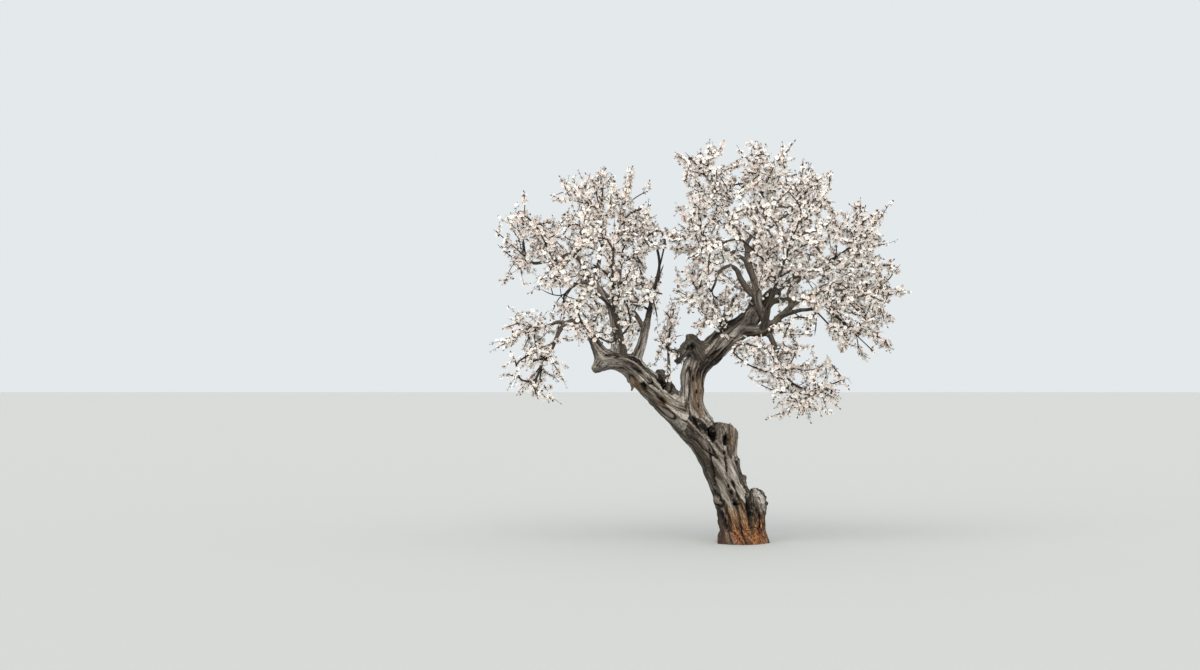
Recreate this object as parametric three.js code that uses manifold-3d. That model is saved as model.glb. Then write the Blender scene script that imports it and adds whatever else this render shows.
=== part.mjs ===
// An old almond tree in full blossom, four metres tall, rooted in the ground.
// A leaning, hollowed trunk forks into two heavy boughs, each with a crown of its own.
// +Z is up, +X is to the right and +Y is away from the viewer. The origin lies in the flat cut under the trunk.
// The trunk and each bough are one solid each. Each mass of blossom is one solid too: twigs that branch
// by a seeded rule from one stem, with five-petalled blooms fused on, each standing for a spray.
import * as THREE from "three";
import { mergeVertices } from "three/addons/utils/BufferGeometryUtils.js";
import Module from "manifold-3d";

const wasm = await Module();
wasm.setup();

// Units and clearances. The tables below are in centimetres, and the model is in millimetres.
const CM = 10;
const GAP = 0.3;

// The limbs were measured from one standpoint, as x and z in the plane of the trunk with a depth y.
// A point at another depth lies on the same line of sight.
const EYE_X = -1430;
const EYE_Y = -16670;
const EYE_Z = 1580;

// Bark colours
const LIVE_BARK = "#7d766e";
const DEAD_WOOD = "#4a433c";
const BLOSSOM = "#efe2dc";

// Trunk: [x, z, y, radius], from below the cut up to the fork
const TRUNK_STATIONS = [
  [-1.5, -10, 0, 24.5],
  [-3, 0, 0, 23],
  [-5.5, 10, 0, 19.6],
  [-8, 22, 0, 18.2],
  [-10, 37, 0, 17.4],
  [-16, 57, 0, 17],
  [-24, 78, 0, 17.2],
  [-35, 98, 0, 16.4],
  [-46, 113, 0, 14.6],
  [-54, 123, 0, 13.4],
];
const TRUNK_SIDES = 14;
const TRUNK_STEPS = 2;
const BURL_SIDES = 10;
const SNAG_SIDES = 10;
const KNOB_SIDES = 8;
const FLUTES = [
  { share: 0.035, count: 3, turn: 0.8, twist: 1.2 },
  { share: 0.025, count: 5, turn: -1.1, twist: 2.0 },
];
const ROOT_FLARE = 0.16;
const ROOT_LOBES = 5;
const ROOT_TURN = 0.6;
const ROOT_HEIGHT = 90;
const GROUND_CUT = 900;

// The burl that stands against the foot of the trunk, and the broken snag high on its right side
const BURL_STATIONS = [
  [18, -10, -2, 9.5],
  [17.5, 0, -2, 9],
  [17, 14, -2, 7.6],
  [16.5, 27, -2, 8.2],
  [14.5, 41, -1, 9.8],
  [9, 53, 0, 6.4],
  [3, 65, 1, 2.6],
];
const SNAG_STATIONS = [
  [-20, 74, -2, 11],
  [-15.5, 90, -3, 11],
  [-13, 104, -4, 10.4],
  [-13.5, 114, -4, 8.6],
];
const KNOB_STATIONS = [
  [-134, 182, -5, 7],
  [-141, 178, -6, 6.6],
  [-146.5, 173, -6, 5.6],
];

// Boughs and limbs. A limb starts on another's line, at a count of its stations, and then goes
// through stations of its own: [x, z, y, radius].
const LIMBS = [
  { name: "left_bough", on: "trunk", at: 8.4, start: 13.5, sides: 10, color: LIVE_BARK,
    way: [[-66, 129, 0, 12.8], [-79, 140, -1, 12], [-97, 159, -2, 12], [-112, 176, -3, 10.6], [-127, 181, -4, 8.8],
      [-140, 183, -5, 8]] },
  { name: "right_bough", on: "trunk", at: 8.4, start: 13.5, sides: 10, color: LIVE_BARK,
    way: [[-51.5, 134, 0, 12.3], [-51, 150, 1, 11.8], [-50, 166, 1, 11.6], [-45, 178, 2, 12.3], [-34, 188, 2, 12.3],
      [-21, 201, 3, 12.5], [-8, 211, 3, 12.3], [3, 219, 4, 10.2], [9, 227, 4, 8.4]] },
  { name: "left_dead_stub", on: "left_bough", at: 0.9, start: 8, sides: 6, color: DEAD_WOOD,
    way: [[-76, 153, 3, 7.6], [-85, 167, 4, 6.8]] },
  { name: "fork_shoot", on: "left_bough", at: 1.6, start: 2, sides: 5, color: LIVE_BARK,
    way: [[-74.5, 152, -9, 1.8], [-74, 172, -9, 1.6], [-74.5, 186, -6, 1.3]] },
  { name: "right_dead_stub", on: "right_bough", at: 4.6, start: 8, sides: 6, color: DEAD_WOOD,
    way: [[-49, 196, -2, 7.4], [-60, 189, -5, 5], [-67, 179, -6, 2.8]] },
  { name: "left_outer_limb", on: "left_bough", at: 5.9, start: 7.6, sides: 6, color: LIVE_BARK,
    way: [[-144.5, 192, -6, 6.6], [-150, 203, -8, 5.2], [-155, 212, -11, 4.2], [-162, 219, -15, 3.3],
      [-169, 221.5, -18, 2.9]] },
  { name: "left_drooping_limb", on: "left_outer_limb", at: 5, start: 2.8, sides: 5, color: LIVE_BARK,
    way: [[-178, 217.5, -21, 2.5], [-184, 210, -23, 2.2], [-189, 198, -25, 1.8]] },
  { name: "left_low_limb", on: "left_drooping_limb", at: 0.8, start: 2, sides: 5, color: LIVE_BARK,
    way: [[-185, 220, -23, 1.7], [-193, 217, -24, 1.4]] },
  { name: "left_upright_limb", on: "left_bough", at: 5, start: 6.4, sides: 6, color: LIVE_BARK,
    way: [[-127, 196, -3, 5.2], [-128, 211, -1, 4.5], [-129, 226, 2, 4.4], [-132.5, 238, 5, 4.2], [-141, 249, 8, 3.9],
      [-149, 257, 10, 3.2]] },
  { name: "left_top_limb", on: "left_upright_limb", at: 5.8, start: 2.8, sides: 5, color: LIVE_BARK,
    way: [[-146, 268, 9, 2.3], [-144, 280, 8, 2], [-142, 291, 7, 1.6]] },
  { name: "left_wing_limb", on: "left_upright_limb", at: 5.8, start: 3, sides: 5, color: LIVE_BARK,
    way: [[-158, 273, 9, 2.4], [-165, 284, 6, 2.2], [-174, 287.5, 3, 2.1], [-184, 283, 0, 2], [-195, 281, -3, 1.9],
      [-205, 279, -5, 1.6]] },
  { name: "left_middle_limb", on: "left_upright_limb", at: 5.2, start: 2.1, sides: 5, color: LIVE_BARK,
    way: [[-157, 259, 2, 1.7], [-167, 258, -2, 1.5], [-174, 252, -4, 1.3]] },
  { name: "left_finger_limb", on: "left_bough", at: 3.9, start: 5.8, sides: 6, color: LIVE_BARK,
    way: [[-103.5, 192, -4, 5], [-100, 203, -5, 4.5], [-97, 215, -6, 4], [-95, 224, -6, 3]] },
  { name: "left_inner_limb", on: "left_finger_limb", at: 2.7, start: 2.6, sides: 5, color: LIVE_BARK,
    way: [[-108, 228, -2, 2.3], [-120, 242, 1, 2.1], [-124, 260, 3, 1.8], [-121, 282, 6, 1.5]] },
  { name: "left_front_limb", on: "left_bough", at: 4.4, start: 4, sides: 5, color: LIVE_BARK,
    way: [[-121, 200, -22, 3.2], [-127, 222, -46, 2.2]] },
  { name: "left_back_limb", on: "left_upright_limb", at: 1.8, start: 3.4, sides: 5, color: LIVE_BARK,
    way: [[-124, 228, 24, 2.7], [-128, 246, 50, 2]] },
  { name: "right_stub_limb", on: "right_bough", at: 8.2, start: 7.6, sides: 6, color: DEAD_WOOD,
    way: [[17, 233, 5, 7.4], [25, 242, 6, 7], [33, 251, 7, 6]] },
  { name: "right_knot", on: "right_bough", at: 7.3, start: 6.4, sides: 6, color: DEAD_WOOD,
    way: [[10, 211, -8, 6.2], [19, 211, -12, 6.2], [26, 213.5, -14, 5.4]] },
  { name: "right_upright_limb", on: "right_knot", at: 2.8, start: 4.8, sides: 6, color: LIVE_BARK,
    way: [[21, 226, -13, 4], [16, 238, -12, 3.8], [15, 249, -11, 3.9], [10, 265, -8, 3.3], [5.5, 278, -5, 3.7],
      [5, 288, -3, 2.7], [3, 301, 0, 2.3]] },
  { name: "right_twin_limb", on: "right_upright_limb", at: 2.5, start: 3.4, sides: 5, color: LIVE_BARK,
    way: [[6, 251, -5, 3.2], [-1.5, 262, -2, 2.9], [-6, 272, -1, 2.4], [-14, 276, -3, 1.8], [-24, 270, -5, 1.5],
      [-28, 258, -7, 1.2]] },
  { name: "right_top_limb", on: "right_upright_limb", at: 6.8, start: 2.2, sides: 5, color: LIVE_BARK,
    way: [[11, 311, 1, 1.9], [13, 322, 1, 1.6], [15, 332, 1, 1.3]] },
  { name: "right_high_limb", on: "right_upright_limb", at: 6, start: 2.4, sides: 5, color: LIVE_BARK,
    way: [[18, 307, 2, 2], [34, 320, 5, 1.7], [45, 328, 6, 1.4]] },
  { name: "right_crown_limb", on: "right_upright_limb", at: 6.7, start: 2.1, sides: 5, color: LIVE_BARK,
    way: [[-7, 315, -1, 1.7], [-14, 329, -1, 1.5], [-19, 339, -1, 1.2]] },
  { name: "right_left_limb", on: "right_upright_limb", at: 5.2, start: 2.2, sides: 5, color: LIVE_BARK,
    way: [[-10, 290, -1, 1.7], [-23, 294, 1, 1.4]] },
  { name: "right_outer_limb", on: "right_knot", at: 2.9, start: 3.8, sides: 5, color: LIVE_BARK,
    way: [[39, 227, -15, 2.9], [50.5, 237.5, -16, 2.6], [60, 243.5, -16, 2.3], [69, 246, -15, 2]] },
  { name: "right_drooping_limb", on: "right_outer_limb", at: 4, start: 1.9, sides: 5, color: LIVE_BARK,
    way: [[82, 237, -13, 1.6], [92, 227, -11, 1.4]] },
  { name: "right_middle_limb", on: "right_outer_limb", at: 1.8, start: 2.4, sides: 5, color: LIVE_BARK,
    way: [[46, 249, -13, 2], [50, 257, -11, 1.8], [57, 262, -9, 1.6], [56.5, 271, -7, 1.3]] },
  { name: "right_far_limb", on: "right_outer_limb", at: 3.7, start: 2, sides: 5, color: LIVE_BARK,
    way: [[80, 250, -12, 1.7], [93, 252, -9, 1.5], [105, 251, -5, 1.3]] },
  { name: "right_high_outer_limb", on: "right_stub_limb", at: 2.6, start: 2.9, sides: 5, color: LIVE_BARK,
    way: [[48, 262, 14, 2.3], [67, 272, 15, 1.9], [86, 281, 12, 1.4]] },
  { name: "right_hanging_limb", on: "right_knot", at: 2.7, start: 3.2, sides: 5, color: LIVE_BARK,
    way: [[31, 198, -17, 2.4], [35, 187, -19, 2.1], [36, 178, -20, 1.9]] },
  { name: "right_front_limb", on: "right_knot", at: 2.1, start: 4, sides: 5, color: LIVE_BARK,
    way: [[25, 232, -36, 3], [31, 250, -56, 2.1]] },
  { name: "right_front_low_limb", on: "right_outer_limb", at: 0.9, start: 2.6, sides: 5, color: LIVE_BARK,
    way: [[54, 231, -34, 2.1], [63, 232, -50, 1.7]] },
  { name: "right_back_limb", on: "right_bough", at: 8, start: 4.6, sides: 5, color: LIVE_BARK,
    way: [[11, 242, 28, 3.2], [20, 264, 52, 2.2]] },
  { name: "right_back_low_limb", on: "right_stub_limb", at: 1.7, start: 3.4, sides: 5, color: LIVE_BARK,
    way: [[49, 243, 30, 2.5], [68, 246, 50, 1.9]] },
];

// Masses of blossom. Each has a limb, an egg-shaped space (middle and half sizes as x, z, y), and its
// furthest tips (x, z, y), where a long shoot stands out.
const MASSES = [
  { name: "left_hanging_blossom", limb: "left_drooping_limb", middle: [-209, 172, -28], half: [25, 38, 32],
    tips: [[-210, 145, -30], [-221, 154, -8], [-228, 182, -48]] },
  { name: "left_low_blossom", limb: "left_low_limb", middle: [-219, 215, -18], half: [34, 26, 42],
    tips: [[-240, 202, -42], [-226, 230, 8]] },
  { name: "left_middle_blossom", limb: "left_middle_limb", middle: [-180, 243, 8], half: [33, 29, 46],
    tips: [[-204, 254, -20], [-168, 232, 44]] },
  { name: "left_wing_blossom", limb: "left_wing_limb", middle: [-214, 303, -2], half: [44, 45, 48],
    tips: [[-250, 313, -28], [-246, 298, 25], [-218, 340, -22], [-237, 262, 14]] },
  { name: "left_high_blossom", limb: "left_top_limb", middle: [-158, 327, -12], half: [35, 44, 50],
    tips: [[-190, 342, -30], [-172, 362, 8], [-152, 366, -38]] },
  { name: "left_top_blossom", limb: "left_inner_limb", middle: [-114, 330, 12], half: [30, 44, 50],
    tips: [[-130, 367, 34], [-109, 371, -6], [-94, 352, 26]] },
  { name: "left_inner_blossom", limb: "left_finger_limb", middle: [-97, 268, -8], half: [27, 46, 46],
    tips: [[-76, 306, -22], [-79, 278, 16], [-81, 248, -30]] },
  { name: "left_front_blossom", limb: "left_front_limb", middle: [-142, 264, -84], half: [56, 58, 46],
    tips: [[-176, 262, -104], [-128, 310, -100]] },
  { name: "left_back_blossom", limb: "left_back_limb", middle: [-144, 282, 88], half: [58, 62, 48],
    tips: [[-190, 290, 106], [-140, 334, 100]] },
  { name: "fork_shoot_blossom", limb: "fork_shoot", middle: [-73, 212, 0], half: [19, 42, 20],
    tips: [[-66, 247, 4], [-80, 232, -8], [-90, 203, -4], [-59, 207, 2]] },
  { name: "right_inner_blossom", limb: "right_twin_limb", middle: [-38, 246, -8], half: [36, 38, 46],
    tips: [[-58, 270, -30], [-62, 242, 20]] },
  { name: "right_left_blossom", limb: "right_left_limb", middle: [-38, 312, -8], half: [36, 42, 50],
    tips: [[-64, 334, 22], [-66, 301, -28]] },
  { name: "right_crown_blossom", limb: "right_crown_limb", middle: [-32, 366, 10], half: [36, 36, 48],
    tips: [[-58, 391, 20], [-34, 394, -10], [-22, 388, 40]] },
  { name: "right_top_blossom", limb: "right_top_limb", middle: [20, 360, -6], half: [34, 42, 50],
    tips: [[0, 388, -26], [20, 395, 10], [40, 392, -34]] },
  { name: "right_high_blossom", limb: "right_high_limb", middle: [68, 338, 8], half: [36, 45, 50],
    tips: [[60, 384, 24], [86, 370, -8], [94, 340, 34]] },
  { name: "right_middle_blossom", limb: "right_middle_limb", middle: [44, 290, -8], half: [38, 36, 44],
    tips: [[30, 306, -30]] },
  { name: "right_high_outer_blossom", limb: "right_high_outer_limb", middle: [115, 302, 8], half: [37, 43, 50],
    tips: [[112, 339, 26], [141, 328, -12], [142, 298, 34]] },
  { name: "right_far_blossom", limb: "right_far_limb", middle: [136, 249, -2], half: [40, 38, 48],
    tips: [[168, 251, 4], [158, 278, -28], [148, 220, 24]] },
  { name: "right_low_blossom", limb: "right_drooping_limb", middle: [105, 212, -8], half: [36, 40, 44],
    tips: [[133, 188, -22], [142, 204, 16]] },
  { name: "right_hanging_blossom", limb: "right_hanging_limb", middle: [50, 168, -18], half: [46, 41, 42],
    tips: [[104, 164, -30], [62, 134, -18], [88, 146, 8], [8, 176, -36]] },
  { name: "right_front_blossom", limb: "right_front_limb", middle: [30, 288, -90], half: [62, 62, 48],
    tips: [[-12, 310, -104], [58, 326, -104]] },
  { name: "right_back_blossom", limb: "right_back_limb", middle: [34, 304, 94], half: [66, 66, 50],
    tips: [[-14, 320, 110], [66, 340, 112]] },
  { name: "right_front_low_blossom", limb: "right_front_low_limb", middle: [82, 232, -78], half: [50, 44, 42],
    tips: [[118, 246, -92]] },
  { name: "right_back_low_blossom", limb: "right_back_low_limb", middle: [94, 252, 80], half: [52, 48, 42],
    tips: [[132, 268, 94]] },
];

// The rule of growth, in millimetres and shares
const GOALS = 7; // places that the twigs of one mass grow towards
const CANDIDATES = 8; // of which the one furthest from the other goals is kept
const GOAL_TRIES = 400; // before a mass does with fewer
const SHELL = 0.55; // goals lie outside this share of the space
const EDGE = 0.9; // and inside this one
const STEP = 60;
const BEND = 0.35; // how far a twig runs on as its parent does, as a share of its length
const TURN_COST = 1.5;
const FORK_COST = 60;
const BOUNDARY = 0.03; // between two spaces, as a share of their size
const LONGEST_SHOOT = 1.5; // how far a shoot may stand out of its space
const STEM_SPACE = 170;
const LIMB_CLEARANCE = 9;
const TIP_RADIUS = 4.5;
const THINNING = 0.8; // power of the share of the tips that a twig carries
const STATION_EVERY = 2; // steps of a twig between two of its stations
const BLOOM_RADIUS = 105;
const BLOOM_RIM = 0.55; // height of the rim over the twig, as a share of the radius
const BLOOM_CUP = 0.28; // height of the middle
const BLOOM_LEAN = 0.2; // towards the tip of the twig
const BLOOM_PETALS = 5;
const BLOOM_APART = 1.05; // radii between the middles of two blooms
const TWIG_APART = 0.5; // and between a bloom's middle and another twig
const TOUCH = 1e-4; // of an edge's length: two faces that only share a corner don't cross
const BLOOM_START = 1; // stretches from the foot of a twig
const SEED = 4211;

// Vector helpers on [x, y, z] arrays
const add = (a, b, k = 1) => a.map((v, i) => v + b[i] * k);
const minus = (a, b) => a.map((v, i) => v - b[i]);
const dot = (a, b) => a[0] * b[0] + a[1] * b[1] + a[2] * b[2];
const size = (a) => Math.sqrt(dot(a, a));
const unit = (a) => a.map((v) => v / (size(a) || 1));
const cross = (a, b) => [a[1] * b[2] - a[2] * b[1], a[2] * b[0] - a[0] * b[2], a[0] * b[1] - a[1] * b[0]];

// Seeded random numbers from 0 to 1: the same in any language that has whole numbers
function seeded(seed) {
  let state = seed;
  return () => {
    state = (state * 48271) % 2147483647;
    return state / 2147483647;
  };
}

// A measured place [x, z, y] in centimetres as [x, y, z] in millimetres
function place([x, z, y]) {
  const scale = 1 + (y * CM) / -EYE_Y;
  return [EYE_X + (x * CM - EYE_X) * scale, y * CM, EYE_Z + (z * CM - EYE_Z) * scale];
}

const station = (row) => [...place(row), row[3] * CM];

// The point of a smooth line through stations [x, y, z, radius], at a count of stations from its start
function pointOn(stations, at) {
  const last = stations.length - 1;
  const i = Math.min(Math.floor(at), last - 1);
  const u = at - i;
  const b = stations[i];
  const c = stations[i + 1];
  const a = i > 0 ? stations[i - 1] : b.map((v, k) => 2 * v - c[k]);
  const d = i + 2 <= last ? stations[i + 2] : c.map((v, k) => 2 * v - b[k]);
  return b.map(
    (v, k) =>
      0.5 *
      (2 * v +
        (c[k] - a[k]) * u +
        (2 * a[k] - 5 * v + 4 * c[k] - d[k]) * u * u +
        (3 * v - a[k] - 3 * c[k] + d[k]) * u * u * u),
  );
}

// That line as a list of points, with a number of steps from one station to the next
function smoothLine(stations, steps) {
  const count = (stations.length - 1) * steps;
  return Array.from({ length: count + 1 }, (_, k) => pointOn(stations, k / steps));
}

// Direction of a line of points at each of them
function directions(line) {
  return line.map((_, i) =>
    unit(minus(line[Math.min(i + 1, line.length - 1)].slice(0, 3), line[Math.max(i - 1, 0)].slice(0, 3))),
  );
}

// Rings of corners around a line of points [x, y, z, radius]. grow makes them that much wider.
function ringsOf(line, sides, { grow = 0, shape = () => 1 } = {}) {
  const along = directions(line);
  const last = line.length - 1;
  let across = unit(cross(Math.abs(along[0][1]) > 0.9 ? [1, 0, 0] : [0, 1, 0], along[0]));
  return line.map((station, i) => {
    const middle = add(station.slice(0, 3), along[i], i === 0 ? -grow : i === last ? grow : 0);
    across = unit(add(across, along[i], -dot(across, along[i])));
    const other = cross(along[i], across);
    return Array.from({ length: sides }, (_, k) => {
      const angle = (2 * Math.PI * k) / sides;
      const out = add(across.map((v) => v * Math.cos(angle)), other, Math.sin(angle));
      return add(middle, out, station[3] * shape(angle, i / last, station[2]) + grow);
    });
  });
}

// A closed solid with a skin over rings of corners, but for the half faces that are taken by something else
function skinned(rings, positions = rings.flat(), taken = new Map(), extra = []) {
  const sides = rings[0].length;
  const top = (rings.length - 1) * sides;
  const faces = [...extra];
  for (let start = 0; start < top; start += sides) {
    for (let k = 0; k < sides; k++) {
      const a = start + k;
      const b = start + ((k + 1) % sides);
      if (!taken.has(a)) faces.push([a, b, b + sides]);
      faces.push([a, b + sides, a + sides]);
    }
  }
  for (let k = 1; k < sides - 1; k++) faces.push([0, k + 1, k], [top, top + k, top + k + 1]);
  return solid(positions.flat(), faces.flat());
}

const tube = (line, sides, options) => skinned(ringsOf(line, sides, options));

// A manifold solid of plain lists of positions and corners
function solid(positions, index) {
  return new wasm.Manifold(
    new wasm.Mesh({
      numProp: 3,
      vertProperties: new Float32Array(positions),
      triVerts: new Uint32Array(index),
    }),
  );
}

// A manifold solid of a three.js geometry
function solidOfGeometry(geometry) {
  geometry.deleteAttribute("normal");
  geometry.deleteAttribute("uv");
  const merged = mergeVertices(geometry);
  return solid(merged.attributes.position.array, merged.index.array);
}

// The largest body of a solid: a loose scrap or a sealed hollow is dropped
function largestBody(made) {
  return made.decompose().reduce((best, body) => (body.volume() > best.volume() ? body : best));
}

// The trunk's cross-section: flutes that twist up the trunk, and lobes where the roots leave it
function trunkShape(angle, share, height) {
  const flutes = FLUTES.reduce(
    (sum, f) => sum + f.share * Math.cos(f.count * angle + f.turn + f.twist * share),
    1,
  );
  const lobe = 0.5 + 0.5 * Math.cos(ROOT_LOBES * angle + ROOT_TURN);
  return flutes + ROOT_FLARE * lobe * Math.exp(-Math.max(height, 0) / ROOT_HEIGHT);
}

const trunkStations = TRUNK_STATIONS.map(station);

// The trunk with its burl and snag, cut flat at the ground
function trunkSolid(grow) {
  const steps = TRUNK_STEPS;
  const ground = new THREE.BoxGeometry(2 * GROUND_CUT, 2 * GROUND_CUT, GROUND_CUT);
  ground.translate(0, 0, -GROUND_CUT / 2 - grow);
  return tube(smoothLine(trunkStations, steps), TRUNK_SIDES, { grow, shape: trunkShape })
    .add(tube(smoothLine(BURL_STATIONS.map(station), steps), BURL_SIDES, { grow }))
    .add(tube(smoothLine(SNAG_STATIONS.map(station), steps), SNAG_SIDES, { grow }))
    .subtract(solidOfGeometry(ground));
}

// All limbs by name: their stations, in millimetres
const limbStations = { trunk: trunkStations };
for (const limb of LIMBS) {
  const start = pointOn(limbStations[limb.on], limb.at);
  limbStations[limb.name] = [[...start.slice(0, 3), limb.start * CM], ...limb.way.map(station)];
}

function limbSolid(limb, grow) {
  const made = tube(limbStations[limb.name], limb.sides, { grow });
  if (limb.name !== "left_bough") return made;
  return made.add(tube(smoothLine(KNOB_STATIONS.map(station), 1), KNOB_SIDES, { grow }));
}

// Whether the boxes around two solids meet
function boxesMeet(a, b) {
  const [p, q] = [a.boundingBox(), b.boundingBox()];
  return [0, 1, 2].every((k) => p.min[k] <= q.max[k] && q.min[k] <= p.max[k]);
}

// Each limb is cut back by the ones made before it, so that it starts at the bark of what carries it
const wood = [{ name: "trunk", color: LIVE_BARK, made: trunkSolid(0), cutter: trunkSolid(GAP) }];
for (const limb of LIMBS) {
  const cutters = wood.map((w) => w.cutter);
  const whole = limbSolid(limb, 0);
  const made = cutters.filter((c) => boxesMeet(c, whole)).reduce((rest, c) => rest.subtract(c), whole);
  wood.push({ name: limb.name, color: limb.color, made: largestBody(made), cutter: limbSolid(limb, GAP) });
}

// The wood as short round stretches, for the test that a twig or bloom stays clear of it
const stretches = [...Object.values(limbStations), SNAG_STATIONS.map(station)].flatMap((stations) => {
  const line = smoothLine(stations, 2);
  return line.slice(1).map((end, i) => [line[i], end]);
});

// How far a point is from the bark of the nearest limb
function barkDistance(point) {
  let least = Infinity;
  for (const [a, b] of stretches) {
    const whole = minus(b, a);
    const own = minus([...point, 0], a);
    const share = Math.min(1, Math.max(0, dot(own, whole) / dot(whole, whole)));
    const gap = size(minus(point, add(a, whole, share).slice(0, 3))) - (a[3] + whole[3] * share);
    least = Math.min(least, gap);
  }
  return least;
}

// How deep a point lies in a mass's space: 0 at its middle or its stem, and 1 at its edge
function depthIn(mass, point) {
  const fromMiddle = size(point.map((v, k) => (v - mass.centre[k]) / mass.radii[k]));
  return Math.min(fromMiddle, size(minus(point, mass.stem.start)) / STEM_SPACE);
}

// Whether a point is in a mass's own space, out to a share of it, and not in another's
function inSpace(mass, point, edge) {
  const depth = depthIn(mass, point);
  if (depth > edge) return false;
  return masses.every((other) => other === mass || depth + BOUNDARY < depthIn(other, point));
}

const masses = MASSES.map((mass, i) => ({
  ...mass,
  stem: stemOf(mass),
  seed: SEED + 97 * i,
  centre: place(mass.middle),
  radii: [mass.half[0] * CM, mass.half[2] * CM, mass.half[1] * CM],
}));

// Where the stem of a mass starts, its direction and its radius
function stemOf(mass) {
  const stations = limbStations[mass.limb];
  const end = stations[stations.length - 1];
  const along = directions(stations)[stations.length - 1];
  return { start: add(end.slice(0, 3), along, GAP), along, radius: end[3] };
}

// Goals of growth: the furthest tips, then places spread evenly through the outer part of the space
function goalsOf(mass, random) {
  const goals = mass.tips.map(place);
  while (goals.length < GOALS) {
    let best = null;
    for (let tries = 0, kept = 0; kept < CANDIDATES && tries < GOAL_TRIES; tries++) {
      const at = [0, 1, 2].map(() => 2 * random() - 1);
      const point = mass.centre.map((v, k) => v + at[k] * mass.radii[k]);
      if (size(at) < SHELL || !inSpace(mass, point, EDGE) || barkDistance(point) < LIMB_CLEARANCE) continue;
      kept++;
      const apart = Math.min(Infinity, ...goals.map((g) => size(minus(g, point))));
      if (!best || apart > best.apart) best = { apart, point };
    }
    if (!best) break;
    goals.push(best.point);
  }
  return goals;
}

// Twigs as nodes { at, from, along }: the stem runs to the furthest goal, and each further twig leaves the
// node that suits its goal best and bends over towards it
function growTwigs(mass, stem, goals) {
  const nodes = [{ at: stem.start, from: -1, along: unit(stem.along), forks: 0 }];
  const order = [...goals].sort((a, b) => size(minus(b, stem.start)) - size(minus(a, stem.start)));
  for (const goal of order) {
    let best = 0;
    let least = Infinity;
    nodes.forEach((node, i) => {
      const way = minus(goal, node.at);
      const cost = size(way) * (TURN_COST - dot(node.along, unit(way))) + FORK_COST * node.forks;
      if (cost < least && (i > 0 || nodes.length === 1)) [best, least] = [i, cost];
    });
    growTwig(mass, nodes, best, goal);
  }
  return nodes;
}

// One twig, in equal steps along a bend that leaves its parent forwards and ends at its goal
function growTwig(mass, nodes, from, goal) {
  const { at: start, along } = nodes[from];
  const far = size(minus(goal, start));
  const bend = add(start, along, far * BEND);
  const steps = Math.max(1, Math.round(far / STEP));
  let last = from;
  for (let k = 1; k <= steps; k++) {
    const u = k / steps;
    const at = start.map((v, i) => v * (1 - u) * (1 - u) + bend[i] * 2 * u * (1 - u) + goal[i] * u * u);
    if (!inSpace(mass, at, LONGEST_SHOOT) || barkDistance(at) < (from ? LIMB_CLEARANCE : -Infinity)) return;
    for (const near of [last - 1, last, last + 1]) if (nodes[near]) nodes[near].forks += k === 1 ? 1 : 0;
    nodes.push({ at, from: last, along: unit(minus(at, nodes[last].at)), forks: 0 });
    last = nodes.length - 1;
  }
}

// The share of all tips that each node carries
function tipShares(nodes) {
  const tips = nodes.map(() => 0);
  const parents = new Set(nodes.map((n) => n.from));
  for (let i = nodes.length - 1; i >= 0; i--) {
    if (!parents.has(i)) tips[i] = 1;
    if (nodes[i].from >= 0) tips[nodes[i].from] += tips[i];
  }
  return tips.map((n) => n / tips[0]);
}

// Nodes in chains: each goes on into the child that carries most, and a side twig starts a chain of its own
function chainsOf(nodes, shares) {
  const children = nodes.map(() => []);
  nodes.forEach((n, i) => n.from >= 0 && children[n.from].push(i));
  const chains = [];
  const open = [[0]];
  while (open.length) {
    const chain = open.shift();
    for (let tip = chain.at(-1); children[tip].length; tip = chain.at(-1)) {
      const order = [...children[tip]].sort((a, b) => shares[b] - shares[a] || a - b);
      order.slice(1).forEach((side) => open.push([tip, side]));
      chain.push(order[0]);
    }
    chains.push(chain);
  }
  return chains;
}

// Corners of one bloom: a five-cornered cup over one face of a twig, then its middle.
// a and b are the face's corners at the start of a stretch, c at its end and next to b.
function bloomCorners(a, b, c, axis) {
  const out = unit(minus(add(a, minus(c, a), 0.5), axis));
  const along = unit(minus(c, b));
  const facing = unit(add(out, along, BLOOM_LEAN));
  const forward = unit(add(along, facing, -dot(along, facing)));
  const side = cross(forward, facing);
  const foot = add(a, minus(c, a), 0.5);
  const rim = Array.from({ length: BLOOM_PETALS }, (_, k) => {
    const angle = (2 * Math.PI * k) / BLOOM_PETALS;
    const out = add(forward.map((v) => v * Math.cos(angle)), side, -Math.sin(angle));
    return add(add(foot, facing, BLOOM_RADIUS * BLOOM_RIM), out, BLOOM_RADIUS);
  });
  return [...rim, add(foot, facing, BLOOM_RADIUS * BLOOM_CUP)];
}

// Whether the edge from p to q passes through a triangle
function pierces(p, q, [a, b, c]) {
  const way = minus(q, p);
  const ab = minus(b, a);
  const ac = minus(c, a);
  const h = cross(way, ac);
  const whole = dot(ab, h);
  if (whole === 0) return false;
  const from = minus(p, a);
  const w = cross(from, ab);
  const u = dot(from, h) / whole;
  const v = dot(way, w) / whole;
  const t = dot(ac, w) / whole;
  return Math.min(u, v, 1 - u - v, t, 1 - t) > TOUCH;
}

// Whether two triangles pass through each other
const facesCross = (one, other) =>
  one.some((p, k) => pierces(p, one[(k + 1) % 3], other)) ||
  other.some((p, k) => pierces(p, other[(k + 1) % 3], one));

// The underside of a bloom, from the three corners a, b, c of its root to the five of its rim, then its cup
const BLOOM_SKIN = [
  ["a", "b", 3], ["b", "c", 4], ["c", "a", 1], ["c", 1, 0], ["a", 2, 1], ["a", 3, 2], ["b", 4, 3], ["c", 0, 4],
  [0, 1, 5], [1, 2, 5], [2, 3, 5], [3, 4, 5], [4, 0, 5],
];

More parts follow.
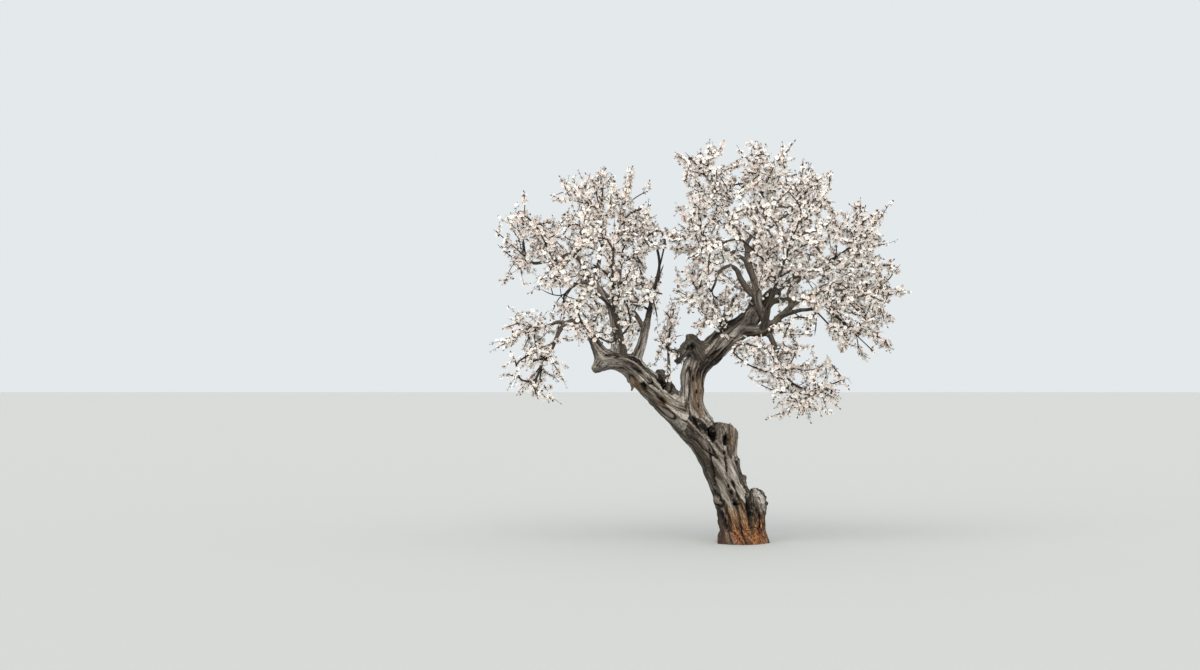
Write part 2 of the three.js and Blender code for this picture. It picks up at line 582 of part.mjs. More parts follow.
// A twig with a bloom on each stretch that has room for one: the bloom takes the place of half a face,
// and cuts through neither the twig nor another bloom on it
function floweringTwig(mass, line, others, middles) {
  const rings = ringsOf(line, 3);
  const positions = rings.flat();
  const taken = new Map();
  const extra = [];
  const made = rings.slice(1).flatMap((ring, i) =>
    ring.flatMap((corner, k) => {
      const [from, beside, ahead] = [rings[i][k], rings[i][(k + 1) % 3], ring[(k + 1) % 3]];
      return [[from, beside, ahead], [from, ahead, corner]];
    }),
  );
  for (let i = line.length - 2; i >= BLOOM_START; i--) {
    for (let tries = 0; tries < 3; tries++) {
      const k = (middles.length + tries) % 3;
      const next = (k + 1) % 3;
      const axis = add(line[i], minus(line[i + 1], line[i]), 0.5).slice(0, 3);
      const corners = bloomCorners(rings[i][k], rings[i][next], rings[i + 1][next], axis);
      const middle = corners[BLOOM_PETALS];
      const clear =
        middles.every((m) => size(minus(m, middle)) > BLOOM_APART * BLOOM_RADIUS) &&
        others.every((m) => size(minus(m, middle)) > TWIG_APART * BLOOM_RADIUS);
      const inside = corners.every((c) => inSpace(mass, c, LONGEST_SHOOT) && barkDistance(c) > LIMB_CLEARANCE);
      if (!clear || !inside) continue;
      const root = { a: i * 3 + k, b: i * 3 + next, c: (i + 1) * 3 + next };
      const skin = BLOOM_SKIN.map((face) => face.map((v) => positions[root[v]] ?? corners[v]));
      if (skin.some((face) => made.some((other) => facesCross(face, other)))) continue;
      made.push(...skin);
      taken.set(root.a, root);
      BLOOM_SKIN.forEach((face) => extra.push(face.map((v) => root[v] ?? positions.length + v)));
      positions.push(...corners);
      middles.push(middle);
      break;
    }
  }
  return skinned(rings, positions, taken, extra);
}

// The stations of a chain's twig, with its radius at each
function twigLine(chain, nodes, shares, stem) {
  const parts = Math.max(1, Math.round((chain.length - 1) / STATION_EVERY));
  const kept = Array.from({ length: parts + 1 }, (_, k) => chain[Math.round((k * (chain.length - 1)) / parts)]);
  return kept.map((n, i) => {
    const share = i === 0 && chain[0] !== 0 ? shares[chain[1]] : shares[n];
    return [...nodes[n].at, TIP_RADIUS + (stem.radius - TIP_RADIUS) * share ** THINNING];
  });
}

function massSolid(mass) {
  const stem = mass.stem;
  const nodes = growTwigs(mass, stem, goalsOf(mass, seeded(mass.seed)));
  const shares = tipShares(nodes);
  const middles = [];
  const twigs = chainsOf(nodes, shares).map((chain) => {
    const others = nodes.filter((_, i) => !chain.includes(i)).map((n) => n.at);
    return floweringTwig(mass, twigLine(chain, nodes, shares, stem), others, middles);
  });
  const joined = wasm.Manifold.union(twigs);
  const clear = wood.filter((w) => boxesMeet(w.made, joined)).reduce((rest, w) => rest.subtract(w.cutter), joined);
  return largestBody(clear);
}

// Every piece as a named mesh
function meshOf(name, made, color, roughness) {
  const { vertProperties, triVerts, numProp } = made.getMesh();
  const geometry = new THREE.BufferGeometry();
  const position = new THREE.BufferAttribute(new Float32Array(vertProperties), numProp);
  geometry.setAttribute("position", position);
  geometry.setIndex(new THREE.BufferAttribute(new Uint32Array(triVerts), 1));
  geometry.computeVertexNormals();
  const mesh = new THREE.Mesh(geometry, new THREE.MeshStandardMaterial({ color, roughness, metalness: 0 }));
  mesh.name = name;
  return mesh;
}

const tree = new THREE.Group();
wood.forEach(({ name, made, color }) => tree.add(meshOf(name, made, color, 0.95)));
masses.forEach((mass) => tree.add(meshOf(mass.name, massSolid(mass), BLOSSOM, 0.7)));

export default tree;
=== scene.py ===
import math

import bmesh
import bpy
import numpy as np
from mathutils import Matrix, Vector
from mathutils.noise import noise as wave


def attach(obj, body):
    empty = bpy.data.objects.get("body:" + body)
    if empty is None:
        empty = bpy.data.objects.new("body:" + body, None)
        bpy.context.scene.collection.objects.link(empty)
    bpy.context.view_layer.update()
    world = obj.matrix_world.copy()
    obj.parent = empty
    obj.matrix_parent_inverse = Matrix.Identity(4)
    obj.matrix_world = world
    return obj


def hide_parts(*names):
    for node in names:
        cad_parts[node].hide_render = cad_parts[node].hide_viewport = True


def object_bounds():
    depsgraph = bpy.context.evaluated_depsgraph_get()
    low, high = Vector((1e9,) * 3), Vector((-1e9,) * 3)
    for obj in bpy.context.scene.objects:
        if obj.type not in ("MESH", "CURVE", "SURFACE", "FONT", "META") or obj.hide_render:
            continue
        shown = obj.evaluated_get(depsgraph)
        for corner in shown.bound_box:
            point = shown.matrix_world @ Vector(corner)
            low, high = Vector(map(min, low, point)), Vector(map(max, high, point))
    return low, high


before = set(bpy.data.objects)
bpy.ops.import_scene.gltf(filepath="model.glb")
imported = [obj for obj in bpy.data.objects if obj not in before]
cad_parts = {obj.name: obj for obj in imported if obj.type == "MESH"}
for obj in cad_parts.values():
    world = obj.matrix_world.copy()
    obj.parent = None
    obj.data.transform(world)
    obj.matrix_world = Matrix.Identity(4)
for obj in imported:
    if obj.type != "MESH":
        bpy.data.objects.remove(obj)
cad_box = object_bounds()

# The lines of the wood
# An almond tree of great age is a few heavy limbs, each of which thins from station to station. A station is
# [x, z, y, radius] in centimetres: x and z as seen from one standpoint, and y back from the trunk's plane.
CM = 10.0  # millimetres, in which the lines are kept
EYE_X, EYE_Y, EYE_Z = -1430.0, -16670.0, 1580.0  # the standpoint, in millimetres
TRUNK = [
    [-1.5, -10, 0, 24.5], [-3, 0, 0, 23], [-5.5, 10, 0, 19.6], [-8, 22, 0, 18.2], [-10, 37, 0, 17.4],
    [-16, 57, 0, 17], [-24, 78, 0, 17.2], [-35, 98, 0, 16.4], [-46, 113, 0, 14.6], [-54, 123, 0, 13.4],
]
# Each limb: what it stands on, at which count of that one's stations, its radius there, and its own stations
LIMBS = {
    "left_bough": ("trunk", 8.4, 13.5, [
        [-66, 129, 0, 12.8], [-79, 140, -1, 12], [-97, 159, -2, 12], [-112, 176, -3, 10.6],
        [-127, 181, -4, 8.8], [-140, 183, -5, 8]]),
    "right_bough": ("trunk", 8.4, 13.5, [
        [-51.5, 134, 0, 12.3], [-51, 150, 1, 11.8], [-50, 166, 1, 11.6], [-45, 178, 2, 12.3],
        [-34, 188, 2, 12.3], [-21, 201, 3, 12.5], [-8, 211, 3, 12.3], [3, 219, 4, 10.2], [9, 227, 4, 8.4]]),
    "left_dead_stub": ("left_bough", 0.9, 8, [[-76, 153, 3, 7.6], [-85, 167, 4, 6.8]]),
    "fork_shoot": ("left_bough", 1.6, 2, [[-74.5, 152, -9, 1.8], [-74, 172, -9, 1.6], [-74.5, 186, -6, 1.3]]),
    "right_dead_stub": ("right_bough", 4.6, 8, [[-49, 196, -2, 7.4], [-60, 189, -5, 5], [-67, 179, -6, 2.8]]),
    "left_outer_limb": ("left_bough", 5.9, 7.6, [
        [-144.5, 192, -6, 6.6], [-150, 203, -8, 5.2], [-155, 212, -11, 4.2], [-162, 219, -15, 3.3],
        [-169, 221.5, -18, 2.9]]),
    "left_drooping_limb": ("left_outer_limb", 5, 2.8, [
        [-178, 217.5, -21, 2.5], [-184, 210, -23, 2.2], [-189, 198, -25, 1.8]]),
    "left_low_limb": ("left_drooping_limb", 0.8, 2, [[-185, 220, -23, 1.7], [-193, 217, -24, 1.4]]),
    "left_upright_limb": ("left_bough", 5, 6.4, [
        [-127, 196, -3, 5.2], [-128, 211, -1, 4.5], [-129, 226, 2, 4.4], [-132.5, 238, 5, 4.2],
        [-141, 249, 8, 3.9], [-149, 257, 10, 3.2]]),
    "left_top_limb": ("left_upright_limb", 5.8, 2.8, [
        [-146, 268, 9, 2.3], [-144, 280, 8, 2], [-142, 291, 7, 1.6]]),
    "left_wing_limb": ("left_upright_limb", 5.8, 3, [
        [-158, 273, 9, 2.4], [-165, 284, 6, 2.2], [-174, 287.5, 3, 2.1], [-184, 283, 0, 2],
        [-195, 281, -3, 1.9], [-205, 279, -5, 1.6]]),
    "left_middle_limb": ("left_upright_limb", 5.2, 2.1, [
        [-157, 259, 2, 1.7], [-167, 258, -2, 1.5], [-174, 252, -4, 1.3]]),
    "left_finger_limb": ("left_bough", 3.9, 5.8, [
        [-103.5, 192, -4, 5], [-100, 203, -5, 4.5], [-97, 215, -6, 4], [-95, 224, -6, 3]]),
    "left_inner_limb": ("left_finger_limb", 2.7, 2.6, [
        [-108, 228, -2, 2.3], [-120, 242, 1, 2.1], [-124, 260, 3, 1.8], [-121, 282, 6, 1.5]]),
    "left_front_limb": ("left_bough", 4.4, 4, [[-121, 200, -22, 3.2], [-127, 222, -46, 2.2]]),
    "left_back_limb": ("left_upright_limb", 1.8, 3.4, [[-124, 228, 24, 2.7], [-128, 246, 50, 2]]),
    "right_stub_limb": ("right_bough", 8.2, 7.6, [[17, 233, 5, 7.4], [25, 242, 6, 7], [33, 251, 7, 6]]),
    "right_knot": ("right_bough", 7.3, 6.4, [[10, 211, -8, 6.2], [19, 211, -12, 6.2], [26, 213.5, -14, 5.4]]),
    "right_upright_limb": ("right_knot", 2.8, 4.8, [
        [21, 226, -13, 4], [16, 238, -12, 3.8], [15, 249, -11, 3.9], [10, 265, -8, 3.3], [5.5, 278, -5, 3.7],
        [5, 288, -3, 2.7], [3, 301, 0, 2.3]]),
    "right_twin_limb": ("right_upright_limb", 2.5, 3.4, [
        [6, 251, -5, 3.2], [-1.5, 262, -2, 2.9], [-6, 272, -1, 2.4], [-14, 276, -3, 1.8], [-24, 270, -5, 1.5],
        [-28, 258, -7, 1.2]]),
    "right_top_limb": ("right_upright_limb", 6.8, 2.2, [
        [11, 311, 1, 1.9], [13, 322, 1, 1.6], [15, 332, 1, 1.3]]),
    "right_high_limb": ("right_upright_limb", 6, 2.4, [
        [18, 307, 2, 2], [34, 320, 5, 1.7], [45, 328, 6, 1.4]]),
    "right_crown_limb": ("right_upright_limb", 6.7, 2.1, [
        [-7, 315, -1, 1.7], [-14, 329, -1, 1.5], [-19, 339, -1, 1.2]]),
    "right_left_limb": ("right_upright_limb", 5.2, 2.2, [[-10, 290, -1, 1.7], [-23, 294, 1, 1.4]]),
    "right_outer_limb": ("right_knot", 2.9, 3.8, [
        [39, 227, -15, 2.9], [50.5, 237.5, -16, 2.6], [60, 243.5, -16, 2.3], [69, 246, -15, 2]]),
    "right_drooping_limb": ("right_outer_limb", 4, 1.9, [[82, 237, -13, 1.6], [92, 227, -11, 1.4]]),
    "right_middle_limb": ("right_outer_limb", 1.8, 2.4, [
        [46, 249, -13, 2], [50, 257, -11, 1.8], [57, 262, -9, 1.6], [56.5, 271, -7, 1.3]]),
    "right_far_limb": ("right_outer_limb", 3.7, 2, [
        [80, 250, -12, 1.7], [93, 252, -9, 1.5], [105, 251, -5, 1.3]]),
    "right_high_outer_limb": ("right_stub_limb", 2.6, 2.9, [
        [48, 262, 14, 2.3], [67, 272, 15, 1.9], [86, 281, 12, 1.4]]),
    "right_hanging_limb": ("right_knot", 2.7, 3.2, [
        [31, 198, -17, 2.4], [35, 187, -19, 2.1], [36, 178, -20, 1.9]]),
    "right_front_limb": ("right_knot", 2.1, 4, [[25, 232, -36, 3], [31, 250, -56, 2.1]]),
    "right_front_low_limb": ("right_outer_limb", 0.9, 2.6, [[54, 231, -34, 2.1], [63, 232, -50, 1.7]]),
    "right_back_limb": ("right_bough", 8, 4.6, [[11, 242, 28, 3.2], [20, 264, 52, 2.2]]),
    "right_back_low_limb": ("right_stub_limb", 1.7, 3.4, [[49, 243, 30, 2.5], [68, 246, 50, 1.9]]),
}


# Growth is summed on lists, in the order in which the solids have it, so that the same twigs grow.
def add(a, b, k=1.0):
    return [v + w * k for v, w in zip(a, b)]


def minus(a, b):
    return [v - w for v, w in zip(a, b)]


def dot(a, b):
    return a[0] * b[0] + a[1] * b[1] + a[2] * b[2]


def size(a):
    return math.sqrt(dot(a, a))


def unit(a):
    length = size(a) or 1.0
    return [v / length for v in a]


def place(at):
    """A measured place [x, z, y] in centimetres as [x, y, z] in millimetres."""
    x, z, y = at
    scale = 1 + (y * CM) / -EYE_Y
    return [EYE_X + (x * CM - EYE_X) * scale, y * CM, EYE_Z + (z * CM - EYE_Z) * scale]


def station(row):
    return [*place(row[:3]), row[3] * CM]


def point_on(stations, at):
    """The point of a smooth line through stations, at a count of stations from its start."""
    last = len(stations) - 1
    i = min(math.floor(at), last - 1)
    u = at - i
    b, c = stations[i], stations[i + 1]
    a = stations[i - 1] if i > 0 else [2 * v - w for v, w in zip(b, c)]
    d = stations[i + 2] if i + 2 <= last else [2 * w - v for v, w in zip(b, c)]
    return [
        0.5 * (2 * q + (r - p) * u + (2 * p - 5 * q + 4 * r - s) * u * u
               + (3 * q - p - 3 * r + s) * u * u * u)
        for p, q, r, s in zip(a, b, c, d)
    ]


def smooth_line(stations, steps):
    count = (len(stations) - 1) * steps
    return [point_on(stations, k / steps) for k in range(count + 1)]


lines = {"trunk": [station(row) for row in TRUNK]}
for name, (carrier, at, radius, way) in LIMBS.items():
    start = point_on(lines[carrier], at)
    lines[name] = [[*start[:3], radius * CM], *map(station, way)]

# The wood's skin
# Trunk, boughs and limbs share one skin of old bark, with a collar where one leaves another, so they are made
# as one surface: tubes joined and drawn onto a smooth field around the lines, then given their relief.
MM = 0.001
SKIN_MESH = 0.0074  # metres from one corner of the skin to the next
STEPS, SIDES = 5, 20  # points from one station to the next, and corners round a limb
FLUTES = [(0.035, 3, 0.8, 1.2), (0.025, 5, -1.1, 2.0)]  # share of the radius, count, turn, twist
ROOT_FLARE, ROOT_LOBES, ROOT_TURN, ROOT_HEIGHT = 0.16, 5, 0.6, 90.0
# What rot and breakage have left standing on the trunk and boughs: stations as before
WEATHERED = {
    "foot_burl": [[20.5, -10, -2, 6.6], [19.8, 0, -2, 6.2], [18, 12, -2, 5.4], [17, 25, -2, 5.4],
                  [15, 34, -2, 8.6], [13.6, 42, -2, 9.6], [12, 47, -2, 7.2]],
    "broken_snag": [[-20, 74, -2, 12], [-18, 90, -3, 11.2], [-17, 103, -4, 10.8], [-16.5, 121, -4, 11]],
    "torn_knob": [[-134, 182, -5, 7], [-141, 178, -6, 6.6], [-146.5, 173, -6, 5.6]],
    "snag_left_lip": [[-24, 88, -9, 4], [-26, 100, -10, 3.6], [-27, 109, -11, 3.2], [-25, 115.5, -11, 2.8],
                      [-18, 116.5, -11, 2.6], [-13, 114.5, -11, 2]],
    "snag_right_lip": [[-11, 90, -9, 4], [-9.4, 101, -9, 3.6], [-8, 109, -9, 3.2], [-8, 121, -8, 2.8]],
    "bough_stub": [[-23, 207, 2, 4.6], [-20.5, 215, 0, 4], [-20, 223, -1, 3.4]],
    "torn_block": [[-44, 187, -5, 7.4], [-49, 196, -6, 7], [-53, 204, -6, 5.6]],
    "torn_plate": [[-56, 195, -9, 4.8], [-62, 188, -10, 4.6], [-67, 180, -10, 2.2]],
    "foot_spur": [[-4, 50, -3, 4.6], [-1, 59, -4, 3.4], [1, 66, -4, 2.4]],
    "bough_shard": [[-104, 164, -7, 3], [-109, 158.5, -8, 2.1], [-111.5, 151, -8, 0.8]],
}
wood = {name: np.array(smooth_line(stations, STEPS)) for name, stations in lines.items()}
for name, rows in WEATHERED.items():
    wood[name] = np.array(smooth_line([station(row) for row in rows], STEPS))
wood_names = list(wood)


def frames_of(line):
    """Along, across and sideways directions at each point of a line."""
    along = np.gradient(line[:, :3], axis=0)
    along /= np.linalg.norm(along, axis=1)[:, None]
    across = np.empty_like(along)
    lead = np.cross([1.0, 0, 0] if abs(along[0][1]) > 0.9 else [0, 1.0, 0], along[0])
    for i, way in enumerate(along):
        lead = lead - way * (lead @ way)
        lead /= np.linalg.norm(lead)
        across[i] = lead
    return along, across, np.cross(along, across)


def lengths_along(line):
    """How far along a line each of its points lies."""
    return np.concatenate([[0], np.cumsum(np.linalg.norm(np.diff(line[:, :3], axis=0), axis=1))])


wood_frames = {name: frames_of(line) for name, line in wood.items()}


def tube(line, sides):
    """Corners and faces of a closed tube round a line, as arrays."""
    _, across, other = frames_of(line)
    angles = np.arange(sides) * 2 * np.pi / sides
    ring = np.cos(angles)[None, :, None] * across[:, None] + np.sin(angles)[None, :, None] * other[:, None]
    corners = (line[:, None, :3] + ring * line[:, None, 3:4]).reshape(-1, 3)
    k = np.arange(sides)
    start = np.arange(len(line) - 1)[:, None] * sides
    a, b = start + k, start + (k + 1) % sides
    quads = np.stack([a, b, b + sides, a + sides], -1).reshape(-1, 4)
    triangles = np.concatenate([quads[:, [0, 1, 2]], quads[:, [0, 2, 3]]])
    fan = np.arange(1, sides - 1)
    top = (len(line) - 1) * sides
    low = np.stack([0 * fan, fan + 1, fan], -1)
    high = np.stack([0 * fan + top, top + fan, top + fan + 1], -1)
    return corners, np.concatenate([triangles, low, high])


def mesh_of(name, corners, triangles):
    """A mesh of triangles, from arrays in metres."""
    mesh = bpy.data.meshes.new(name)
    mesh.vertices.add(len(corners))
    mesh.vertices.foreach_set("co", np.asarray(corners, np.float32).ravel())
    mesh.loops.add(3 * len(triangles))
    mesh.loops.foreach_set("vertex_index", np.asarray(triangles, np.int32).ravel())
    mesh.polygons.add(len(triangles))
    mesh.polygons.foreach_set("loop_start", np.arange(0, 3 * len(triangles), 3, dtype=np.int32))
    mesh.update(calc_edges=True)
    return mesh


def joined(pieces):
    """Several (corners, triangles) as one."""
    starts = np.cumsum([0] + [len(corners) for corners, _ in pieces])
    corners = np.concatenate([corners for corners, _ in pieces])
    return corners, np.concatenate([faces + start for (_, faces), start in zip(pieces, starts)])


def remeshed(mesh, cell):
    """That mesh's outside as one skin of even faces."""
    holder = bpy.data.objects.new("skin", mesh)
    bpy.context.collection.objects.link(holder)
    cells = holder.modifiers.new("cells", "REMESH")
    cells.mode = "VOXEL"
    cells.voxel_size = cell
    skin = bpy.data.meshes.new_from_object(holder.evaluated_get(bpy.context.evaluated_depsgraph_get()))
    bpy.data.objects.remove(holder)
    return skin


def nearest_on(line, points):
    """Distance to a tapering limb's bark, where along it that is, and the limb's radius there."""
    a, b = line[:-1], line[1:]
    ab = b[:, :3] - a[:, :3]
    length2 = (ab**2).sum(1)
    rel = points[:, None, :] - a[None, :, :3]
    share = (rel * ab).sum(2) / length2
    over = np.maximum(share[:, -1] - 1, 0) * math.sqrt(length2[-1])
    share[:, :-1] = np.clip(share[:, :-1], 0, 1)
    share[:, -1] = np.maximum(share[:, -1], 0)
    away = np.linalg.norm(rel - share[:, :, None] * ab, axis=2)
    radius = a[:, 3] + np.clip(share, 0, 1) * (b[:, 3] - a[:, 3])
    gap = away - radius
    past = over > 0
    beyond = np.hypot(np.maximum(gap[past, -1], 0), over[past])
    gap[past, -1] = np.where(gap[past, -1] < 0, np.maximum(gap[past, -1], over[past]), beyond)
    pick = gap.argmin(1)
    rows = np.arange(len(points))
    return gap[rows, pick], pick + np.clip(share[rows, pick], 0, 1), radius[rows, pick]


REACH = 90.0  # millimetres round a limb within which it shapes the skin
COLLAR = 0.85  # how far the bark of two limbs flows together, as a share of the thinner one's radius


def wood_field(points):
    """Distance to the whole skin, and which limb is nearest, where along it, its radius and its lead."""
    whole = np.full(len(points), 1e6)
    least = np.full(len(points), 1e6)
    lead = np.full(len(points), 1e6)
    owner = np.zeros(len(points), int)
    at = np.zeros(len(points))
    radius = np.ones(len(points))
    for i, name in enumerate(wood_names):
        line = wood[name]
        margin = REACH + line[:, 3].max()
        near = ((points > line[:, :3].min(0) - margin) & (points < line[:, :3].max(0) + margin)).all(1)
        rows = np.flatnonzero(near)
        if not len(rows):
            continue
        gap, where, thick = nearest_on(line, points[rows])
        k = COLLAR * np.minimum(thick, radius[rows].clip(thick * 0.5))
        blend = np.maximum(k - np.abs(whole[rows] - gap), 0) / k
        whole[rows] = np.minimum(whole[rows], gap) - blend**2 * k / 4
        lead[rows] = np.minimum(lead[rows], np.abs(gap - least[rows]))
        closer = gap < least[rows]
        own = rows[closer]
        least[own], at[own], radius[own], owner[own] = gap[closer], where[closer], thick[closer], i
    return whole, owner, at, radius, lead


def read_vertices(mesh, what="co"):
    """The corners of a mesh in metres, or its normals there."""
    values = np.empty(3 * len(mesh.vertices), np.float32)
    if what == "co":
        mesh.vertices.foreach_get("co", values)
    else:
        mesh.vertex_normals.foreach_get("vector", values)
    return values.reshape(-1, 3).astype(float)


def write_vertices(mesh, corners):
    """Moves the corners of a mesh to places in millimetres."""
    mesh.vertices.foreach_set("co", (corners * MM).astype(np.float32).ravel())
    mesh.update()


NEXT_NOISE = np.array([17.3, 5.9, 11.1])  # from one seed's noise to the next one's


def noise(points, seed):
    """Smooth noise from about -1 to 1, one wave a unit: corners / 26 makes waves of 26 mm."""
    shifted = np.asarray(points) + NEXT_NOISE * seed
    return np.fromiter(map(wave, shifted.tolist()), float, len(shifted)) * 1.5


def smoothstep(low, high, value):
    """0 up to low, 1 from high on, and a smooth rise between them."""
    t = np.clip((value - low) / (high - low), 0, 1)
    return t * t * (3 - 2 * t)


DRAWN, FURTHEST = 3, 30.0  # how often the skin is drawn onto the field, and how far at most in millimetres
rough_corners, rough_faces = joined([tube(wood[name], SIDES) for name in wood_names])
skin = remeshed(mesh_of("wood", rough_corners * MM, rough_faces), SKIN_MESH)
corners = read_vertices(skin) / MM
for _ in range(DRAWN):
    gap, *_ = wood_field(corners)
    corners -= read_vertices(skin, "normal") * np.clip(gap, -FURTHEST, FURTHEST)[:, None]
    write_vertices(skin, corners)
_, owner, at, radius, lead = wood_field(corners)
normals = read_vertices(skin, "normal")

# Straightened places: across, sideways and along each limb, turned slowly as spiral grain is. Those
# of one limb lie apart from the next one's, so that no two limbs show the same grain.
TWIST = 0.0011  # radians a millimetre
APART, SHIFTED = 977, 300  # millimetres across and along
grain = np.zeros_like(corners)
share_along = np.zeros(len(corners))
to_end = np.zeros(len(corners))
for i, name in enumerate(wood_names):
    rows = np.flatnonzero(owner == i)
    line, (along, across, other) = wood[name], wood_frames[name]
    low = np.minimum(at[rows].astype(int), len(line) - 2)
    part = (at[rows] - low)[:, None]
    run = lengths_along(line)
    middle = line[low, :3] * (1 - part) + line[low + 1, :3] * part
    rel = corners[rows] - middle
    x = (rel * (across[low] * (1 - part) + across[low + 1] * part)).sum(1)
    y = (rel * (other[low] * (1 - part) + other[low + 1] * part)).sum(1)
    length = run[low] * (1 - part[:, 0]) + run[low + 1] * part[:, 0]
    turn = length * TWIST
    share_along[rows] = at[rows] / (len(line) - 1)
    to_end[rows] = run[-1] - length
    if name == "trunk":
        angle = np.arctan2(y, x)
        flutes = sum(s * np.cos(c * angle + t + w * share_along[rows]) for s, c, t, w in FLUTES)
        lobes = 0.5 + 0.5 * np.cos(ROOT_LOBES * angle + ROOT_TURN)
        flutes += ROOT_FLARE * lobes * np.exp(-np.maximum(corners[rows, 2], 0) / ROOT_HEIGHT)
        corners[rows] += normals[rows] * (radius[rows] * flutes)[:, None]
    grain[rows] = np.stack(
        [x * np.cos(turn) - y * np.sin(turn) + APART * i, x * np.sin(turn) + y * np.cos(turn), length], 1)

# Long forms that run with the grain: flutes and ridges of old wood, and the clefts between them
COARSEST = 150  # the mean radius in millimetres of a limb with the coarsest bark
FINEST = 0.12  # the share of that radius below which bark gets no finer
fine = np.array([np.clip(wood[n][:, 3].mean() / COARSEST, FINEST, 1) ** 0.6 for n in wood_names])[owner]
across_limb = grain[:, 0] - APART * owner
out = np.hypot(across_limb, grain[:, 1]).clip(1)
rounds = np.stack([across_limb / out, grain[:, 1] / out, 0 * out], 1)
run = grain[:, 2] + SHIFTED * owner
settle = smoothstep(0, 1, lead / (0.5 * radius))  # the grain's pattern fades where two limbs meet
SWAY_LENGTH, SWAY_SEED = 170, 50  # millimetres along a limb from one sway of its grain to the next


def along_grain(across_waves, length, seed, sway=0.0):
    """Noise with so many waves across a limb, drawn out along it to a length in millimetres."""
    at = rounds * across_waves
    at[:, 2] = run / (length * fine)
    if sway:
        swaying = np.stack([rounds[:, 0], rounds[:, 1], run / SWAY_LENGTH], 1)
        at[:, 0] += sway * noise(swaying, seed + SWAY_SEED)
    return noise(at, seed)


def of_limbs(*names):
    """Whether each corner belongs to one of those limbs."""
    return np.isin(owner, [wood_names.index(name) for name in names])


flow = 0.11 * along_grain(1.2, 520, 1) + 0.085 * along_grain(2.6, 480, 2, 0.3)  # as shares of the radius
lumps = noise(corners / (95 * fine[:, None]), 3) * 0.05
cleft = smoothstep(0.90, 1, 1 - np.abs(along_grain(1.7, 620, 13, 0.35)))  # splits between two plates of bark
crack = smoothstep(0.86, 1, 1 - np.abs(along_grain(4.2, 330, 14, 0.5)))  # finer splits in a plate
strand = along_grain(7.0, 260, 16, 0.4)
height = radius * (flow * settle + lumps)

# Hollows that rot has opened and knots that have grown over, as seen from one side of the tree:
# [x, z, half width, half height in centimetres, tilt in degrees, depth or height in millimetres, side],
# where side -1 is the front
HOLLOWS = [
    [-31, 109, 4.4, 9.5, 12, 110, -1], [-17.5, 102, 3.6, 7.2, 6, 90, -1], [-19, 89, 1.6, 2.4, 0, 35, -1],
    [-17, 77, 1.3, 12, 8, 42, -1], [-14.6, 56, 1.6, 3, 10, 26, -1], [-11.5, 49.5, 2.2, 3.2, 20, 30, -1],
    [-30.5, 72, 1.3, 27, 9, 46, -1], [-23.5, 29, 2.6, 10, 6, 50, -1], [3, 62, 1.2, 6, 8, 30, -1],
    [-7, 38, 5, 2.4, 0, 50, -1], [-19.5, 22, 2.6, 17, 17, 55, -1], [-21, 42.5, 0.9, 1.1, 0, 16, -1],
    [6.2, 31, 3.2, 27, 11, 85, -1], [15.5, 17, 1.4, 13, 0, 50, -1], [-1, 13, 0.9, 13, 6, 30, -1],
    [-48, 121, 1.1, 13, 27, 42, -1], [-38, 112, 0.8, 7, 25, 26, -1], [-99.5, 156, 5, 4.2, -44, 50, -1],
    [-81, 141.5, 6.5, 3.6, -40, 45, -1], [-88.5, 157, 13, 1.2, -44, 36, -1],
    [-104, 171, 10, 1.4, -38, 30, -1], [-78, 157, 4.2, 13, 42, 60, -1], [-151, 204, 2.0, 7, 30, 26, -1],
    [-46, 150, 1.6, 3, 0, 22, -1], [-50, 163, 1.4, 4, 8, 24, -1], [-44, 137, 1.3, 4, 10, 22, -1],
    [-28, 189, 10, 1.2, 38, 34, -1], [-52, 195, 6, 4, 30, 34, -1], [-14, 58, 3.5, 13, 8, 70, 1],
    [-38, 104, 3, 9, 20, 55, 1], [-90, 151, 11, 2, -42, 45, 1], [-50, 160, 2, 9, 0, 45, 1],
    [-12, 22, 2.5, 11, 0, 60, 1], [-14, 206, 9, 1.6, 36, 40, 1],
]
KNOTS = [
    [-21, 43, 2.6, 2.6, 0, 26, -1], [-9, 43.5, 9, 2.0, -6, 16, -1], [10, 47, 4, 3.6, 0, 20, -1],
    [18, 41, 4.6, 5.5, 0, 24, -1], [13, 35, 4, 3.4, 0, 16, -1], [-112, 160, 3, 7, 20, 26, -1],
    [-62, 118, 5, 4, 0, 20, -1], [-1, 187, 4, 3, 30, 24, -1], [-30, 70, 5, 7, 12, 16, 1],
    [-70, 140, 6, 5, 0, 22, 1], [-35, 186, 5, 5, 0, 24, 1], [4, 30, 6, 8, 0, 22, 1],
]
# Bare wood where the bark has gone, and wood that standing water has turned black: the same, with how bare or
# black it is in the place of a depth
BARE = [
    [-5, 15, 14, 26, 6, 1.0, -1], [17, 12, 9, 20, 0, 1.0, -1], [-47, 150, 7, 24, 4, 0.55, -1],
    [-106, 155, 7, 8, 0, 0.8, -1], [-81, 140, 9, 6, -40, 0.7, -1], [-12, 104, 4, 12, 0, 0.4, -1],
    [-10, 26, 10, 24, 0, 1.0, 1], [-48, 150, 7, 20, 0, 0.8, 1], [-96, 157, 10, 6, -42, 0.7, 1],
]
BLACK = [
    [4, 219, 13, 13, 20, 0.9, -1], [-20, 216, 7, 6, 0, 0.8, -1], [-29, 110, 7, 9, 0, 0.5, -1],
    [-25, 14, 5, 20, 4, 0.6, -1], [4, 219, 12, 12, 20, 0.8, 1],
]
LIP_AT, LIP_WIDTH = 1.25, 0.28  # where bark swells round a hollow, in shares of the hollow's size
LIP_HIGHEST, LIP_SHARE = 9, 0.2  # its height in millimetres at most, and as a share of the hollow's depth
ragged = noise(corners / 26, 5) * 0.28 + noise(corners / 11, 6) * 0.12
frayed = along_grain(5, 480, 7) * 0.5 + along_grain(9, 380, 8) * 0.3


